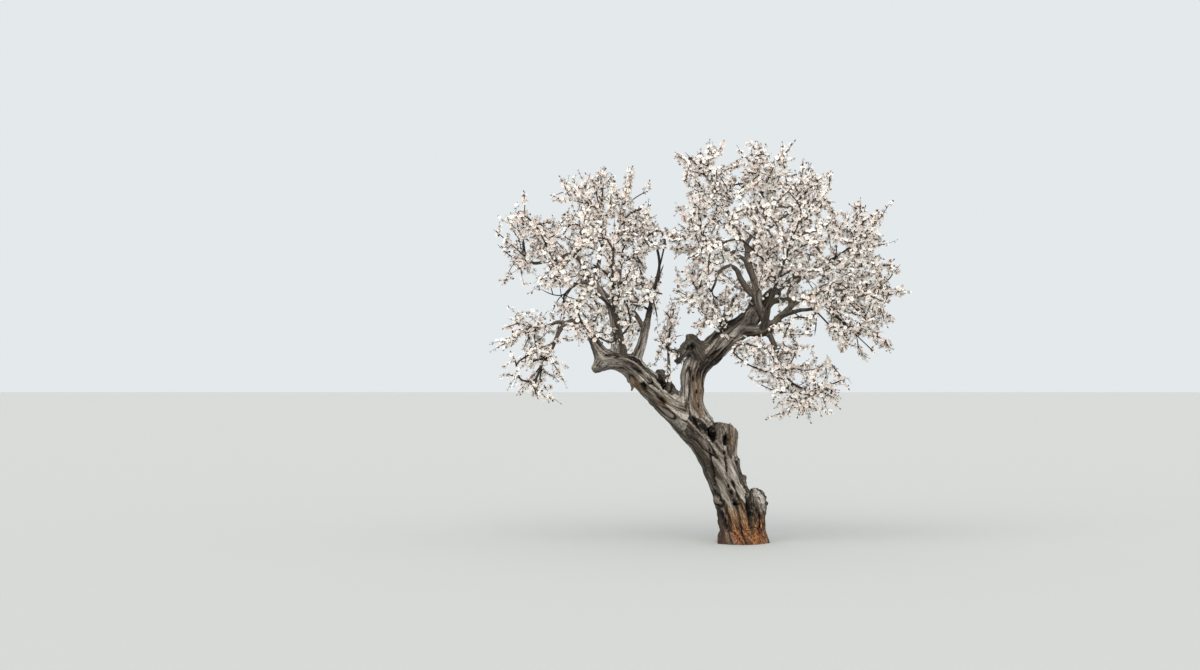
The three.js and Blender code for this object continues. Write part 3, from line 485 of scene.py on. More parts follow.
def seen(x, y, z):
    """Where a place shows from the standpoint, across and up the trunk's plane in centimetres."""
    scale = 1 + y / -EYE_Y
    return (EYE_X + (x - EYE_X) / scale) / CM, (EYE_Z + (z - EYE_Z) / scale) / CM


def from_middle(x, z, mid_x, mid_z, half_x, half_z, tilt):
    """How far a place lies across and up from the middle of a tilted oval, in shares of its half sizes."""
    c, s = math.cos(math.radians(tilt)), math.sin(math.radians(tilt))
    dx, dz = x - mid_x, z - mid_z
    return (dx * c + dz * s) / half_x, (dz * c - dx * s) / half_z


seen_x, seen_z = seen(*corners.T)


def spot(oval, side):
    """How far each corner is from a spot's middle, in shares of its size, and whether it faces that side."""
    return np.hypot(*from_middle(seen_x, seen_z, *oval)), smoothstep(0.0, 0.35, normals[:, 1] * side)


def frayed_spots(rows, edge):
    """How bare or black each corner is, from spots whose edges run out along the grain."""
    most = np.zeros(len(corners))
    for *oval, share, side in rows:
        away, facing = spot(oval, side)
        most = np.maximum(most, share * smoothstep(0, edge, 1.15 - away + frayed) * facing)
    return most


# How hollow each corner is, which the material paints near black as shade
hollow_shade = np.zeros(len(corners))
for *oval, depth, side in HOLLOWS:
    away, facing = spot(oval, side)
    away = away + ragged * np.minimum(away, 1)
    share = smoothstep(0, 0.55, 1 - away) * facing
    lip = np.exp(-(((away - LIP_AT) / LIP_WIDTH) ** 2)) * facing
    height += lip * min(LIP_HIGHEST, depth * LIP_SHARE) - depth * share
    hollow_shade = np.maximum(hollow_shade, share)
for *oval, high, side in KNOTS:
    away, facing = spot(oval, side)
    height += high * smoothstep(0, 0.9, 1.1 - away) * facing
bare = frayed_spots(BARE, 0.45)
BARK_THICK = 6  # millimetres that are gone where the wood is bare
knobbly = of_limbs("foot_burl") * smoothstep(26, 34, seen_z) * (1 - smoothstep(52, 60, seen_z))
height += knobbly * (noise(corners / 27, 9) * 10 + noise(corners / 13, 10) * 5) - bare * BARK_THICK * fine

# Broken ends: the middle is rotted out, so many millimetres deep, and the rim is splintered
BROKEN = {"broken_snag": 170, "bough_stub": 40, "torn_knob": 40, "left_dead_stub": 34, "right_dead_stub": 10,
          "right_stub_limb": 40, "torn_block": 24, "torn_plate": 14}
BREAK, PIT = 60, 12  # millimetres from the end that a break reaches, and that its pit reaches
dead = np.zeros(len(corners))
for name, deep in BROKEN.items():
    i = wood_names.index(name)
    rows = np.flatnonzero((owner == i) & (to_end < BREAK))
    way = wood_frames[name][0][-1]
    off = out[rows] / wood[name][-1, 3]
    end = 1 - smoothstep(0, BREAK, to_end[rows])
    pit = (1 - smoothstep(0.45, 0.8, off)) * (to_end[rows] < PIT)
    teeth = noise(rounds[rows] * 2.6, 9) * 0.5 + noise(rounds[rows] * 6, 10) * 0.3
    splinters = smoothstep(0.4, 0.8, off) * end * (teeth - 0.25 + 0.25 * rounds[rows, 0])
    corners[rows] += way * (splinters * 0.6 * wood[name][-1, 3] - pit * deep)[:, None]
    # The pit is painted near black, as shade
    hollow_shade[rows] = np.maximum(hollow_shade[rows], pit)
    if name not in ("torn_knob", "broken_snag"):
        dead[owner == i] = 1
dead = np.maximum(dead, frayed_spots(BLACK, 0.5))

CLEFT, CRACK, STRAND, PITTED = 15, 5.5, 1.6, 7  # how deep, or high, the grain's forms are in millimetres
weathered = dead * (noise(corners / 34, 41) * 8 + noise(corners / 15, 42) * 3.5)
pits = 0.8 * smoothstep(0.25, 0.7, along_grain(5, 420, 18, 0.6)) * bare
deep_grain = 1 - 0.3 * bare
along_forms = -CLEFT * cleft - CRACK * deep_grain * crack + STRAND * deep_grain * strand
height += fine * settle * along_forms - PITTED * pits + weathered
corners += normals * height[:, None]

# The snag is torn off on a slant, with a splintered rim: [x, z] along its top
TORN_X = [-34, -29, -25, -22, -18, -13, -9, -4]
TORN_Z = [108, 116, 119, 117.5, 114.5, 113.5, 111, 107]
SNAG_TOP, TORN_AWAY = 119.5, 0.9  # the highest of it in centimetres, and how much goes of what stands above
rim_height = np.interp(seen_x, TORN_X, TORN_Z)
for length, seed, high in ((21, 31, 1.6), (60, 32, 5)):
    rim_height = rim_height + high * noise(corners * [1, 1, 0] / length, seed)
past = np.maximum(corners[:, 2] / CM - np.minimum(rim_height, SNAG_TOP), 0)
past = past * of_limbs("broken_snag", "snag_left_lip", "snag_right_lip")
corners[:, 2] -= past * TORN_AWAY * CM
write_vertices(skin, corners)


def give_values(mesh, name, kind, values):
    """Keep a value for each corner of a mesh, for its material."""
    layer = mesh.attributes.new(name, kind, "POINT")
    layer.data.foreach_set("color" if kind == "FLOAT_COLOR" else "vector", values.astype(np.float32).ravel())


# What the bark's material goes by: how near the foot a place is, how young its limb, how worn its ridges with
# light painted on the upper left bough, and how far it is turned down or away from the light, where shade is
# painted on it
foot = 1 - smoothstep(0, 38, seen_z + 8 * noise(corners / 80, 21) + 12 * frayed)
foot *= of_limbs("trunk", "foot_burl", "foot_spur")
young = 1 - smoothstep(20, 55, radius)
# Painted light on the upper left bough, and a paler burl; wear makes ridges silver, and clefts are darker as
# painted shade
painted_light_zone = 0.13 * smoothstep(92, 120, seen_z) * (1 - smoothstep(-56, -48, seen_x)) + 0.04 * knobbly
worn_and_lit = np.clip(0.5 + painted_light_zone + 2.4 * flow + 0.25 * strand - 0.5 * cleft, 0, 1)
# Painted shade: darker where the skin is turned down and to the left, unevenly
shaded = smoothstep(-0.1, 0.75, -normals[:, 2] - 0.55 * normals[:, 0] + 0.3 * ragged)
# Clefts, cracks and pits, which the material darkens as painted shade
clefts = np.clip(cleft * settle + 0.6 * crack * settle + pits, 0, 1)
give_values(skin, "grain", "FLOAT_VECTOR", grain * MM)
give_values(skin, "zones", "FLOAT_COLOR", np.stack([bare, np.minimum(hollow_shade, 1), foot, dead], 1))
give_values(skin, "relief", "FLOAT_COLOR", np.stack([clefts, worn_and_lit, young, shaded], 1))
give_values(skin, "limb", "FLOAT_VECTOR", np.repeat(owner[:, None], 3, 1))

# The tree stands on level ground, so the skin is cut flat there and closed.
cut = bmesh.new()
cut.from_mesh(skin)
everything = cut.verts[:] + cut.edges[:] + cut.faces[:]
rim = bmesh.ops.bisect_plane(cut, geom=everything, plane_co=(0, 0, 0), plane_no=(0, 0, 1), clear_inner=True)
bmesh.ops.holes_fill(cut, edges=[e for e in rim["geom_cut"] if isinstance(e, bmesh.types.BMEdge)])
bmesh.ops.triangulate(cut, faces=cut.faces[:])
cut.to_mesh(skin)
cut.free()


def values_of(mesh, name):
    """The values that a mesh keeps for its corners under a name."""
    layer = mesh.attributes[name]
    what, width = ("color", 4) if layer.data_type == "FLOAT_COLOR" else ("vector", 3)
    values = np.empty(width * len(mesh.vertices), np.float32)
    layer.data.foreach_get(what, values)
    return values.reshape(-1, width)


def put(name, mesh, material, slot, *nodes):
    """A mesh as a smooth piece of the tree, which stands for those solids."""
    mesh.name = name
    mesh.materials.clear()
    mesh.materials.append(material)
    mesh.polygons.foreach_set("use_smooth", np.ones(len(mesh.polygons), bool))
    piece = bpy.data.objects.new(name, mesh)
    bpy.context.collection.objects.link(piece)
    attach(piece, "root")
    if nodes:
        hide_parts(*nodes)
    return piece


# Bark of an old almond
# It is grey and cork-like, split into long plates with dark clefts between them. The eye sees pale worn
# edges, brown depths, patches of grey lichen, and brown to orange wood where the bark has gone.
# Shade is painted into its clefts, hollows and turned-down faces, and light onto the upper left bough.
def linear(colour):
    """A colour such as #8a837a as the shader's linear red, green, blue and full alpha."""
    parts = [int(colour[i:i + 2], 16) / 255 for i in (1, 3, 5)]
    return (*(c / 12.92 if c <= 0.04045 else ((c + 0.055) / 1.055) ** 2.4 for c in parts), 1.0)


def new_node(material, kind, inputs, stops=(), **settings):
    """One node. An input takes a value, a colour or another node's output; stops are a ramp's colours."""
    made = material.node_tree.nodes.new(kind)
    for name, value in settings.items():
        setattr(made, name, value)
    for name, value in inputs.items():
        if isinstance(value, bpy.types.NodeSocket):
            material.node_tree.links.new(value, made.inputs[name])
        else:
            made.inputs[name].default_value = linear(value) if isinstance(value, str) else value
    for i, (at, colour) in enumerate(stops):
        stop = made.color_ramp.elements[i] if i < 2 else made.color_ramp.elements.new(at)
        stop.position, stop.color = at, linear(colour)
    return made


def new_material(name, **values):
    """A material and its shader, with what is the same all over set on the shader itself."""
    material = bpy.data.materials.new(name)
    material.use_nodes = True
    shader = material.node_tree.nodes["Principled BSDF"]
    for key, value in values.items():
        shader.inputs[key.replace("_", " ")].default_value = value
    return material, shader


bark, shader = new_material("old_almond_bark", Roughness=0.92, IOR=1.4)
on_grain, bark_zones, bark_relief = (
    new_node(bark, "ShaderNodeAttribute", {}, attribute_name=name).outputs
    for name in ("grain", "zones", "relief"))
# Red, green, blue and alpha: how bare, hollow (painted shade), near the foot and dead, and how cleft (painted
# shade), worn and lit (painted light), young and shaded (painted shade)
zone, form = (new_node(bark, "ShaderNodeSeparateColor", {"Color": stored["Color"]}).outputs
              for stored in (bark_zones, bark_relief))
FIBRE_DRAWN, PATCH_DRAWN = 0.055, 0.12  # how much slower a pattern changes along the grain than across it
along_fibre, along_patch = (
    new_node(bark, "ShaderNodeVectorMath", {0: on_grain["Vector"], 1: (1, 1, slower)},
             operation="MULTIPLY").outputs[0]
    for slower in (FIBRE_DRAWN, PATCH_DRAWN))
patches, fibres, lichen_spots, roughness = (
    new_node(bark, "ShaderNodeTexNoise", {"Vector": follows, "Scale": in_a_metre, "Detail": detail,
                                          "Roughness": rough}).outputs["Fac"]
    for follows, in_a_metre, detail, rough in (
        (along_patch, 24.0, 6.0, 0.6),  # patches of tone about 42 mm wide
        (along_fibre, 150.0, 7.0, 0.72),  # fibres about 7 mm wide: real ones are finer, and would not show
        (on_grain["Vector"], 38.0, 5.0, 0.65),  # spots of lichen about 26 mm wide
        (along_patch, 120.0, 7.0, 0.7),  # the corky face of the bark, about 8 mm from ridge to ridge
    ))
# Tone patches, wear and painted light together drive the silver colour
tone_worn_and_lit = new_node(bark, "ShaderNodeMath", {0: patches, 1: form["Green"]}, operation="ADD").outputs[0]
tone_worn_and_lit = new_node(bark, "ShaderNodeMath", {0: tone_worn_and_lit, 1: 0.5}, operation="MULTIPLY").outputs[0]
silver, grain_lines, dry_wood, red_wood = (
    new_node(bark, "ShaderNodeValToRGB", {"Fac": by}, stops=stops).outputs[0] for by, stops in (
        (tone_worn_and_lit, [(0.34, "#211810"), (0.64, "#dad2c6"), (0.43, "#564b40"), (0.53, "#9d9286")]),
        (fibres, [(0.38, "#3b3024"), (0.56, "#ffffff")]),
        (fibres, [(0.35, "#38271a"), (0.65, "#bda17f"), (0.5, "#7b6147")]),
        (fibres, [(0.39, "#190903"), (0.61, "#e6a468"), (0.5, "#633213")]),
    ))
lichen, reddened = (
    new_node(bark, "ShaderNodeMapRange", {"Value": value, "From Min": low, "From Max": high, "To Min": least,
                                          "To Max": most}).outputs[0]
    for value, low, high, least, most in (
        (lichen_spots, 0.57, 0.68, 0.0, 0.5), (patches, 0.40, 0.54, 0.6, 1.0)))
# Shares of painted shade on turned-down faces, brown at the foot, black dead wood, and painted shade in the
# clefts
painted_shade, browned, blackened, shade_in_clefts = (
    new_node(bark, "ShaderNodeMath", {0: where, 1: most}, operation="MULTIPLY").outputs[0]
    for where, most in ((bark_relief["Alpha"], 0.68), (zone["Blue"], 0.75), (bark_zones["Alpha"], 0.72),
                        (form["Red"], 0.93)))

FACTOR, LOWER, UPPER, MIXED = 0, 6, 7, 2  # a colour mix's inputs, and its output
# Shades of two colours each, with what tells the one from the other
young_bark, shade_painted_colour, brown_bark, black_wood, cleft_shade_colour, foot_wood = (
    new_node(bark, "ShaderNodeMix", {FACTOR: by, LOWER: one, UPPER: other}, data_type="RGBA").outputs[MIXED]
    for by, one, other in (
        (patches, "#3b3128", "#8d8276"), (fibres, "#160f09", "#4c443a"), (fibres, "#1a0f08", "#6c4c33"),
        (fibres, "#1d1814", "#4a423a"), (zone["Blue"], "#170f09", "#240f04"), (reddened, "#80593a", red_wood),
    ))
bare_wood = new_node(bark, "ShaderNodeMix", {FACTOR: zone["Blue"], LOWER: dry_wood, UPPER: foot_wood},
                     data_type="RGBA").outputs[MIXED]
# The silver face of the bark, with its fibres, and what lies over it from the lowest layer up
surface = new_node(bark, "ShaderNodeMix", {FACTOR: 0.9, LOWER: silver, UPPER: grain_lines}, data_type="RGBA",
                   blend_type="MULTIPLY").outputs[MIXED]
# Layers, lowest first: lichen, young bark, painted shade, brown foot, bare wood, black dead wood, painted
# shade in clefts, and near-black painted shade in hollows
for share, over in ((lichen, "#b4b0a6"), (form["Blue"], young_bark), (painted_shade, shade_painted_colour), (browned, brown_bark),
                    (zone["Red"], bare_wood), (blackened, black_wood), (shade_in_clefts, cleft_shade_colour),
                    (zone["Green"], "#0c0806")):
    surface = new_node(bark, "ShaderNodeMix", {FACTOR: share, LOWER: surface, UPPER: over},
                       data_type="RGBA").outputs[MIXED]
bark.node_tree.links.new(surface, shader.inputs["Base Color"])
rough_face = new_node(bark, "ShaderNodeBump", {"Height": roughness, "Strength": 0.8, "Distance": 0.006})
bark.node_tree.links.new(rough_face.outputs[0], shader.inputs["Normal"])

# Trunk, boughs, limbs and dead wood
# All have one skin of bark, so they are cut from it as four pieces: the trunk with its two boughs, the
# limbs left and right, and the dead stubs. They keep the skin's own normals, so that no seam shows.
BOUGHS = ["left_bough", "right_bough"]
DEAD_WOOD = ["left_dead_stub", "right_dead_stub", "right_stub_limb", "right_knot"]
BLOOMING = [name for name in LIMBS if name not in BOUGHS + DEAD_WOOD]
GROUPS = {
    "trunk_and_boughs": ("bark", ["trunk", *BOUGHS], list(WEATHERED)),
    "left_limbs": ("bark", [*(name for name in BLOOMING if name.startswith("left_")), "fork_shoot"], []),
    "right_limbs": ("bark", [name for name in BLOOMING if name.startswith("right_")], []),
    "dead_stubs": ("dead_wood", DEAD_WOOD, []),
}
faces = np.empty(3 * len(skin.polygons), np.int32)
skin.loops.foreach_get("vertex_index", faces)
faces = faces.reshape(-1, 3)
whole_corners, whole_normals = read_vertices(skin), read_vertices(skin, "normal")
KEPT = {"grain": "FLOAT_VECTOR", "zones": "FLOAT_COLOR", "relief": "FLOAT_COLOR"}
kept = {name: values_of(skin, name) for name in KEPT}
limb_of = np.round(values_of(skin, "limb")[:, 0]).astype(int)
for name, (slot, nodes, also) in GROUPS.items():
    wanted = [wood_names.index(n) for n in (*nodes, *also)]
    own = faces[np.isin(limb_of[faces[:, 0]], wanted)]
    used, renumbered = np.unique(own, return_inverse=True)
    mesh = mesh_of(name, whole_corners[used], renumbered.reshape(-1, 3))
    for what, kind in KEPT.items():
        give_values(mesh, what, kind, kept[what][used])
    put(name, mesh, bark, slot, *nodes)
    mesh.normals_split_custom_set_from_vertices(whole_normals[used])
bpy.data.meshes.remove(skin)

# Twigs
# From the tip of each limb a stem branches into the twigs of one mass, each towards a place of its own in the
# space that the mass fills, and bears the shoots of the last years: straight, thin and red-brown.
GAP = 0.3  # millimetres from a limb's tip to the stem
SEED, NEXT_SEED = 4211, 97  # of the first mass, and from one mass to the next
# Twigs to a mass, places weighed up for each, how often one is looked for, and where it lies in the space
GOALS, CANDIDATES, GOAL_TRIES, SHELL, EDGE = 7, 8, 400, 0.55, 0.9
# One step of a twig, how far it bends before it turns to its goal, and what a turn and a fork cost it
STEP, BEND, TURN_COST, FORK_COST = 60.0, 0.35, 1.5, 60.0
BOUNDARY = 0.03  # left free between two spaces, as a share of them
LONGEST_SHOOT = 1.5  # as far as a shoot may go, as a share of its space
STEM_SPACE, LIMB_CLEARANCE = 170.0, 9.0  # millimetres of space round a stem, and from a twig to a limb's bark
# Each mass: its limb, the middle and half size of its space [x, z, y] and its furthest tips, in centimetres
MASSES = {
    "left_hanging_blossom": ("left_drooping_limb", [-209, 172, -28], [25, 38, 32],
        [[-210, 145, -30], [-221, 154, -8], [-228, 182, -48]]),
    "left_low_blossom": ("left_low_limb", [-219, 215, -18], [34, 26, 42], [[-240, 202, -42], [-226, 230, 8]]),
    "left_middle_blossom": ("left_middle_limb", [-180, 243, 8], [33, 29, 46],
        [[-204, 254, -20], [-168, 232, 44]]),
    "left_wing_blossom": ("left_wing_limb", [-214, 303, -2], [44, 45, 48],
        [[-250, 313, -28], [-246, 298, 25], [-218, 340, -22], [-237, 262, 14]]),
    "left_high_blossom": ("left_top_limb", [-158, 327, -12], [35, 44, 50],
        [[-190, 342, -30], [-172, 362, 8], [-152, 366, -38]]),
    "left_top_blossom": ("left_inner_limb", [-114, 330, 12], [30, 44, 50],
        [[-130, 367, 34], [-109, 371, -6], [-94, 352, 26]]),
    "left_inner_blossom": ("left_finger_limb", [-97, 268, -8], [27, 46, 46],
        [[-76, 306, -22], [-79, 278, 16], [-81, 248, -30]]),
    "left_front_blossom": ("left_front_limb", [-142, 264, -84], [56, 58, 46],
        [[-176, 262, -104], [-128, 310, -100]]),
    "left_back_blossom": ("left_back_limb", [-144, 282, 88], [58, 62, 48],
        [[-190, 290, 106], [-140, 334, 100]]),
    "fork_shoot_blossom": ("fork_shoot", [-73, 212, 0], [19, 42, 20],
        [[-66, 247, 4], [-80, 232, -8], [-90, 203, -4], [-59, 207, 2]]),
    "right_inner_blossom": ("right_twin_limb", [-38, 246, -8], [36, 38, 46],
        [[-58, 270, -30], [-62, 242, 20]]),
    "right_left_blossom": ("right_left_limb", [-38, 312, -8], [36, 42, 50],
        [[-64, 334, 22], [-66, 301, -28]]),
    "right_crown_blossom": ("right_crown_limb", [-32, 366, 10], [36, 36, 48],
        [[-58, 391, 20], [-34, 394, -10], [-22, 388, 40]]),
    "right_top_blossom": ("right_top_limb", [20, 360, -6], [34, 42, 50],
        [[0, 388, -26], [20, 395, 10], [40, 392, -34]]),
    "right_high_blossom": ("right_high_limb", [68, 338, 8], [36, 45, 50],
        [[60, 384, 24], [86, 370, -8], [94, 340, 34]]),
    "right_middle_blossom": ("right_middle_limb", [44, 290, -8], [38, 36, 44], [[30, 306, -30]]),
    "right_high_outer_blossom": ("right_high_outer_limb", [115, 302, 8], [37, 43, 50],
        [[112, 339, 26], [141, 328, -12], [142, 298, 34]]),
    "right_far_blossom": ("right_far_limb", [136, 249, -2], [40, 38, 48],
        [[168, 251, 4], [158, 278, -28], [148, 220, 24]]),
    "right_low_blossom": ("right_drooping_limb", [105, 212, -8], [36, 40, 44],
        [[133, 188, -22], [142, 204, 16]]),
    "right_hanging_blossom": ("right_hanging_limb", [50, 168, -18], [46, 41, 42],
        [[104, 164, -30], [62, 134, -18], [88, 146, 8], [8, 176, -36]]),
    "right_front_blossom": ("right_front_limb", [30, 288, -90], [62, 62, 48],
        [[-12, 310, -104], [58, 326, -104]]),
    "right_back_blossom": ("right_back_limb", [34, 304, 94], [66, 66, 50], [[-14, 320, 110], [66, 340, 112]]),
    "right_front_low_blossom": ("right_front_low_limb", [82, 232, -78], [50, 44, 42], [[118, 246, -92]]),
    "right_back_low_blossom": ("right_back_low_limb", [94, 252, 80], [52, 48, 42], [[132, 268, 94]]),
}
# The trunk's snag in the solids, which twigs keep clear of as they do of the limbs
SNAG = [[-20, 74, -2, 11], [-15.5, 90, -3, 11], [-13, 104, -4, 10.4], [-13.5, 114, -4, 8.6]]
blocks = []
for way in (*lines.values(), [station(row) for row in SNAG]):
    ends = smooth_line(way, 2)
    blocks += [(*a, *b) for a, b in zip(ends[:-1], ends[1:])]
blocks = np.array(blocks)
block_start, block_whole = blocks[:, :3], blocks[:, 4:7] - blocks[:, :3]
block_length2 = (block_whole**2).sum(1)


def bark_distance(point):
    """How far a point is from the bark of the nearest limb."""
    rel = point - block_start
    share = np.clip((rel * block_whole).sum(1) / block_length2, 0, 1)
    away = np.sqrt(((rel - block_whole * share[:, None]) ** 2).sum(1))
    return float((away - blocks[:, 3] - (blocks[:, 7] - blocks[:, 3]) * share).min())


stems = {}
for name, (limb, *_) in MASSES.items():
    before, end = lines[limb][-2], lines[limb][-1]
    along = unit(minus(end[:3], before[:3]))
    stems[name] = (add(end[:3], along, GAP), along, end[3])
mass_names = list(MASSES)
centres = np.array([place(MASSES[n][1]) for n in mass_names])
radii = np.array([[half[0] * CM, half[2] * CM, half[1] * CM] for _, _, half, _ in MASSES.values()])
stem_starts = np.array([stems[n][0] for n in mass_names])


def depths(point):
    """How deep a point lies in each mass's space: 0 at its middle or its stem, and 1 at its edge."""
    from_middle = np.sqrt((((point - centres) / radii) ** 2).sum(1))
    from_stem = np.sqrt(((point - stem_starts) ** 2).sum(1)) / STEM_SPACE
    return np.minimum(from_middle, from_stem)


def in_space(mass, point, edge):
    """Whether a point is in a mass's own space, out to a share of it, and not in another's."""
    deep = depths(np.asarray(point))
    others = np.delete(deep, mass)
    return deep[mass] <= edge and bool((deep[mass] + BOUNDARY < others).all())


MULTIPLIER, MODULUS = 48271, 2147483647  # of the chance numbers that the solids' twigs are grown with


def seeded(seed):
    """Chance numbers from 0 to 1, the same each time for a seed."""
    state = seed
    while True:
        state = state * MULTIPLIER % MODULUS
        yield state / MODULUS


def goals_of(mass, tips, random):
    """The furthest tips, then places spread evenly through the outer part of the space."""
    goals = [place(tip) for tip in tips]
    while len(goals) < GOALS:
        best, widest, found = None, 0.0, 0
        for _ in range(GOAL_TRIES):
            if found == CANDIDATES:
                break
            at = [2 * next(random) - 1 for _ in range(3)]
            point = [c + a * r for c, a, r in zip(centres[mass].tolist(), at, radii[mass].tolist())]
            if size(at) < SHELL or not in_space(mass, point, EDGE) or bark_distance(point) < LIMB_CLEARANCE:
                continue
            found += 1
            apart = min([math.inf, *(size(minus(g, point)) for g in goals)])
            if best is None or apart > widest:
                best, widest = point, apart
        if best is None:
            break
        goals.append(best)
    return goals


# Finer twigs and all blossoms keep out of the gaps that show sky, and those in front show the limbs behind:
# [x, z, half width, half height in centimetres, tilt in degrees], and for a front gap the y where it ends
GAPS = [
    [-203, 343, 12, 12, 8], [-241, 337, 12, 12, 0], [-226, 359, 9, 8, 0], [-166, 383, 24, 11, -14],
    [-106, 353, 6, 18, 0], [-80, 350, 11, 36, 6], [-128, 385, 27, 11, 0], [-122, 358, 4, 13, 0],
    [-61, 350, 6, 12, 0], [-90, 278, 9, 12, 0], [-79, 252, 5, 24, 0], [-95, 210, 6, 30, 6],
    [-61, 207, 6, 17, 0], [-198, 244, 31, 8, 14], [-252, 225, 11, 24, -30], [-252, 284, 16, 9, 0],
    [-262, 324, 9, 13, 0], [-246, 272, 14, 6, 0], [-174, 188, 14, 12, 0], [30, 407, 40, 6, 0],
    [57, 389, 6, 9, 0], [112, 376, 18, 9, 20], [127, 348, 9, 13, 0], [163, 264, 18, 7, 0],
    [166, 239, 17, 8, -8], [152, 209, 8, 8, 0], [78, 189, 5, 12, 0], [-236, 208, 6, 4, 0],
    [-205, 126, 40, 15, 0], [-14, 387, 8, 8, 0], [-82, 378, 11, 10, 0], [84, 379, 17, 9, 20],
    [94, 352, 6, 19, 0], [82, 328, 5, 6, 0], [108, 350, 14, 9, 20], [147, 312, 7, 13, 0],
    [-27, 254, 5, 11, 0], [77, 212, 7, 24, -10], [90, 193, 6, 9, 0], [106, 180, 10, 16, -20],
    [140, 181, 12, 10, 0], [166, 282, 15, 11, 0], [155, 233, 14, 6, 0], [-140, 187, 22, 13, 0],
    [-35, 184, 20, 12, 0], [100, 294, 5, 5, 0], [-231, 242, 8, 7, 0], [4, 141, 22, 21, 0],
    [120, 169, 15, 13, 0], [124, 199, 5, 6, 0], [-75, 392, 7, 14, 0], [-53, 394, 5, 9, 0],
    [29, 397, 4, 9, 0], [143, 292, 8, 5, -10], [-228, 348, 6, 8, 0], [-219, 335, 6, 4, 0],
    [-186, 355, 5, 8, 0], [-187, 330, 8, 4, 0], [-205, 331, 12, 4, 8], [-245, 299, 5, 14, -35],
    [-67, 374, 5, 10, 0], [-80, 286, 6, 7, 0], [-60, 284, 5, 5, 0], [68, 257, 8, 5, 20], [135, 340, 5, 9, 0],
    [119, 201, 6, 6, 0], [60, 199, 5, 4, 0], [157, 219, 6, 5, 0], [55, 378, 4, 7, 0], [-183, 371, 10, 5, 0],
    [-22, 382, 7, 5, 0], [-62, 398, 8, 8, 0],
]
FRONT_GAPS = [
    [4, 293, 5, 14, 0, -6], [44, 316, 4, 8, 0, 3], [-137, 238, 5, 28, 22, -2], [-100, 206, 6, 18, 0, -10],
    [3, 258, 14, 24, 14, -12], [22, 234, 16, 17, 0, -18], [46, 237, 24, 7, -24, -18],
    [2, 220, 16, 10, 0, -14],
]


def in_gap(point):
    """Whether a point, as seen from the standpoint, lies in one of the crown's gaps."""
    x, z = seen(*point)
    ovals = GAPS + [oval for *oval, before in FRONT_GAPS if point[1] < before * CM]
    return any(math.hypot(*from_middle(x, z, *oval)) < 1 for oval in ovals)


def grow_twig(mass, nodes, first, goal, finer):
    """One twig, in equal steps along a bend that leaves its parent forwards and ends at its goal."""
    start, along = nodes[first]["at"], nodes[first]["along"]
    far = size(minus(goal, start))
    bend = add(start, along, far * BEND)
    steps = max(1, math.floor(far / STEP + 0.5))
    last = first
    for k in range(1, steps + 1):
        u = k / steps
        at = [s * (1 - u) * (1 - u) + b * 2 * u * (1 - u) + g * u * u for s, b, g in zip(start, bend, goal)]
        clear = bark_distance(at) >= LIMB_CLEARANCE or first == 0
        if not in_space(mass, at, LONGEST_SHOOT) or not clear or (finer and in_gap(at)):
            return
        if k == 1:
            for near in (last - 1, last, last + 1):
                if 0 <= near < len(nodes):
                    nodes[near]["forks"] += 1
        nodes.append({"at": at, "from": last, "along": unit(minus(at, nodes[last]["at"])), "forks": 0})
        last = len(nodes) - 1


def grow_twigs(mass, nodes, goals, finer=False):
    """A twig to each goal, the furthest first, from the node that suits it best."""
    for goal in sorted(goals, key=lambda g: -size(minus(g, nodes[0]["at"]))):
        best, least = 0, math.inf
        for i, here in enumerate(nodes):
            way = minus(goal, here["at"])
            cost = size(way) * (TURN_COST - dot(here["along"], unit(way))) + FORK_COST * here["forks"]
            if cost < least and (i > 0 or len(nodes) == 1):
                best, least = i, cost
        grow_twig(mass, nodes, best, goal, finer)


def tip_shares(nodes):
    """The share of all tips that each node carries."""
    tips = [0] * len(nodes)
    parents = {n["from"] for n in nodes}
    for i in reversed(range(len(nodes))):
        if i not in parents:
            tips[i] = 1
        if nodes[i]["from"] >= 0:
            tips[nodes[i]["from"]] += tips[i]
    return [n / tips[0] for n in tips]


def chains_of(nodes, shares):
    """Nodes in chains: each goes on into the child that carries most, and a side twig starts its own."""
    children = [[] for _ in nodes]
    for i, n in enumerate(nodes):
        if n["from"] >= 0:
            children[n["from"]].append(i)
    chains, waiting = [], [[0]]
    while waiting:
        chain = waiting.pop(0)
        while children[chain[-1]]:
            order = sorted(children[chain[-1]], key=lambda c: (-shares[c], c))
            waiting += [[chain[-1], side] for side in order[1:]]
            chain.append(order[0])
        chains.append(chain)
    return chains


# Finer twigs go on by the same rule, to places spread through the whole space, and bear the short shoots of
# the last years. A hanging mass weeps, and a thin one has fewer.
CROWDED = 100  # finer twigs to a cubic metre
BALL = 4.19  # the volume of a space, as a multiple of its three half sizes
OLD_TIP, STOUT = 3.6, 0.62  # a twig's radius in millimetres at its last shoots, and how slowly it thins
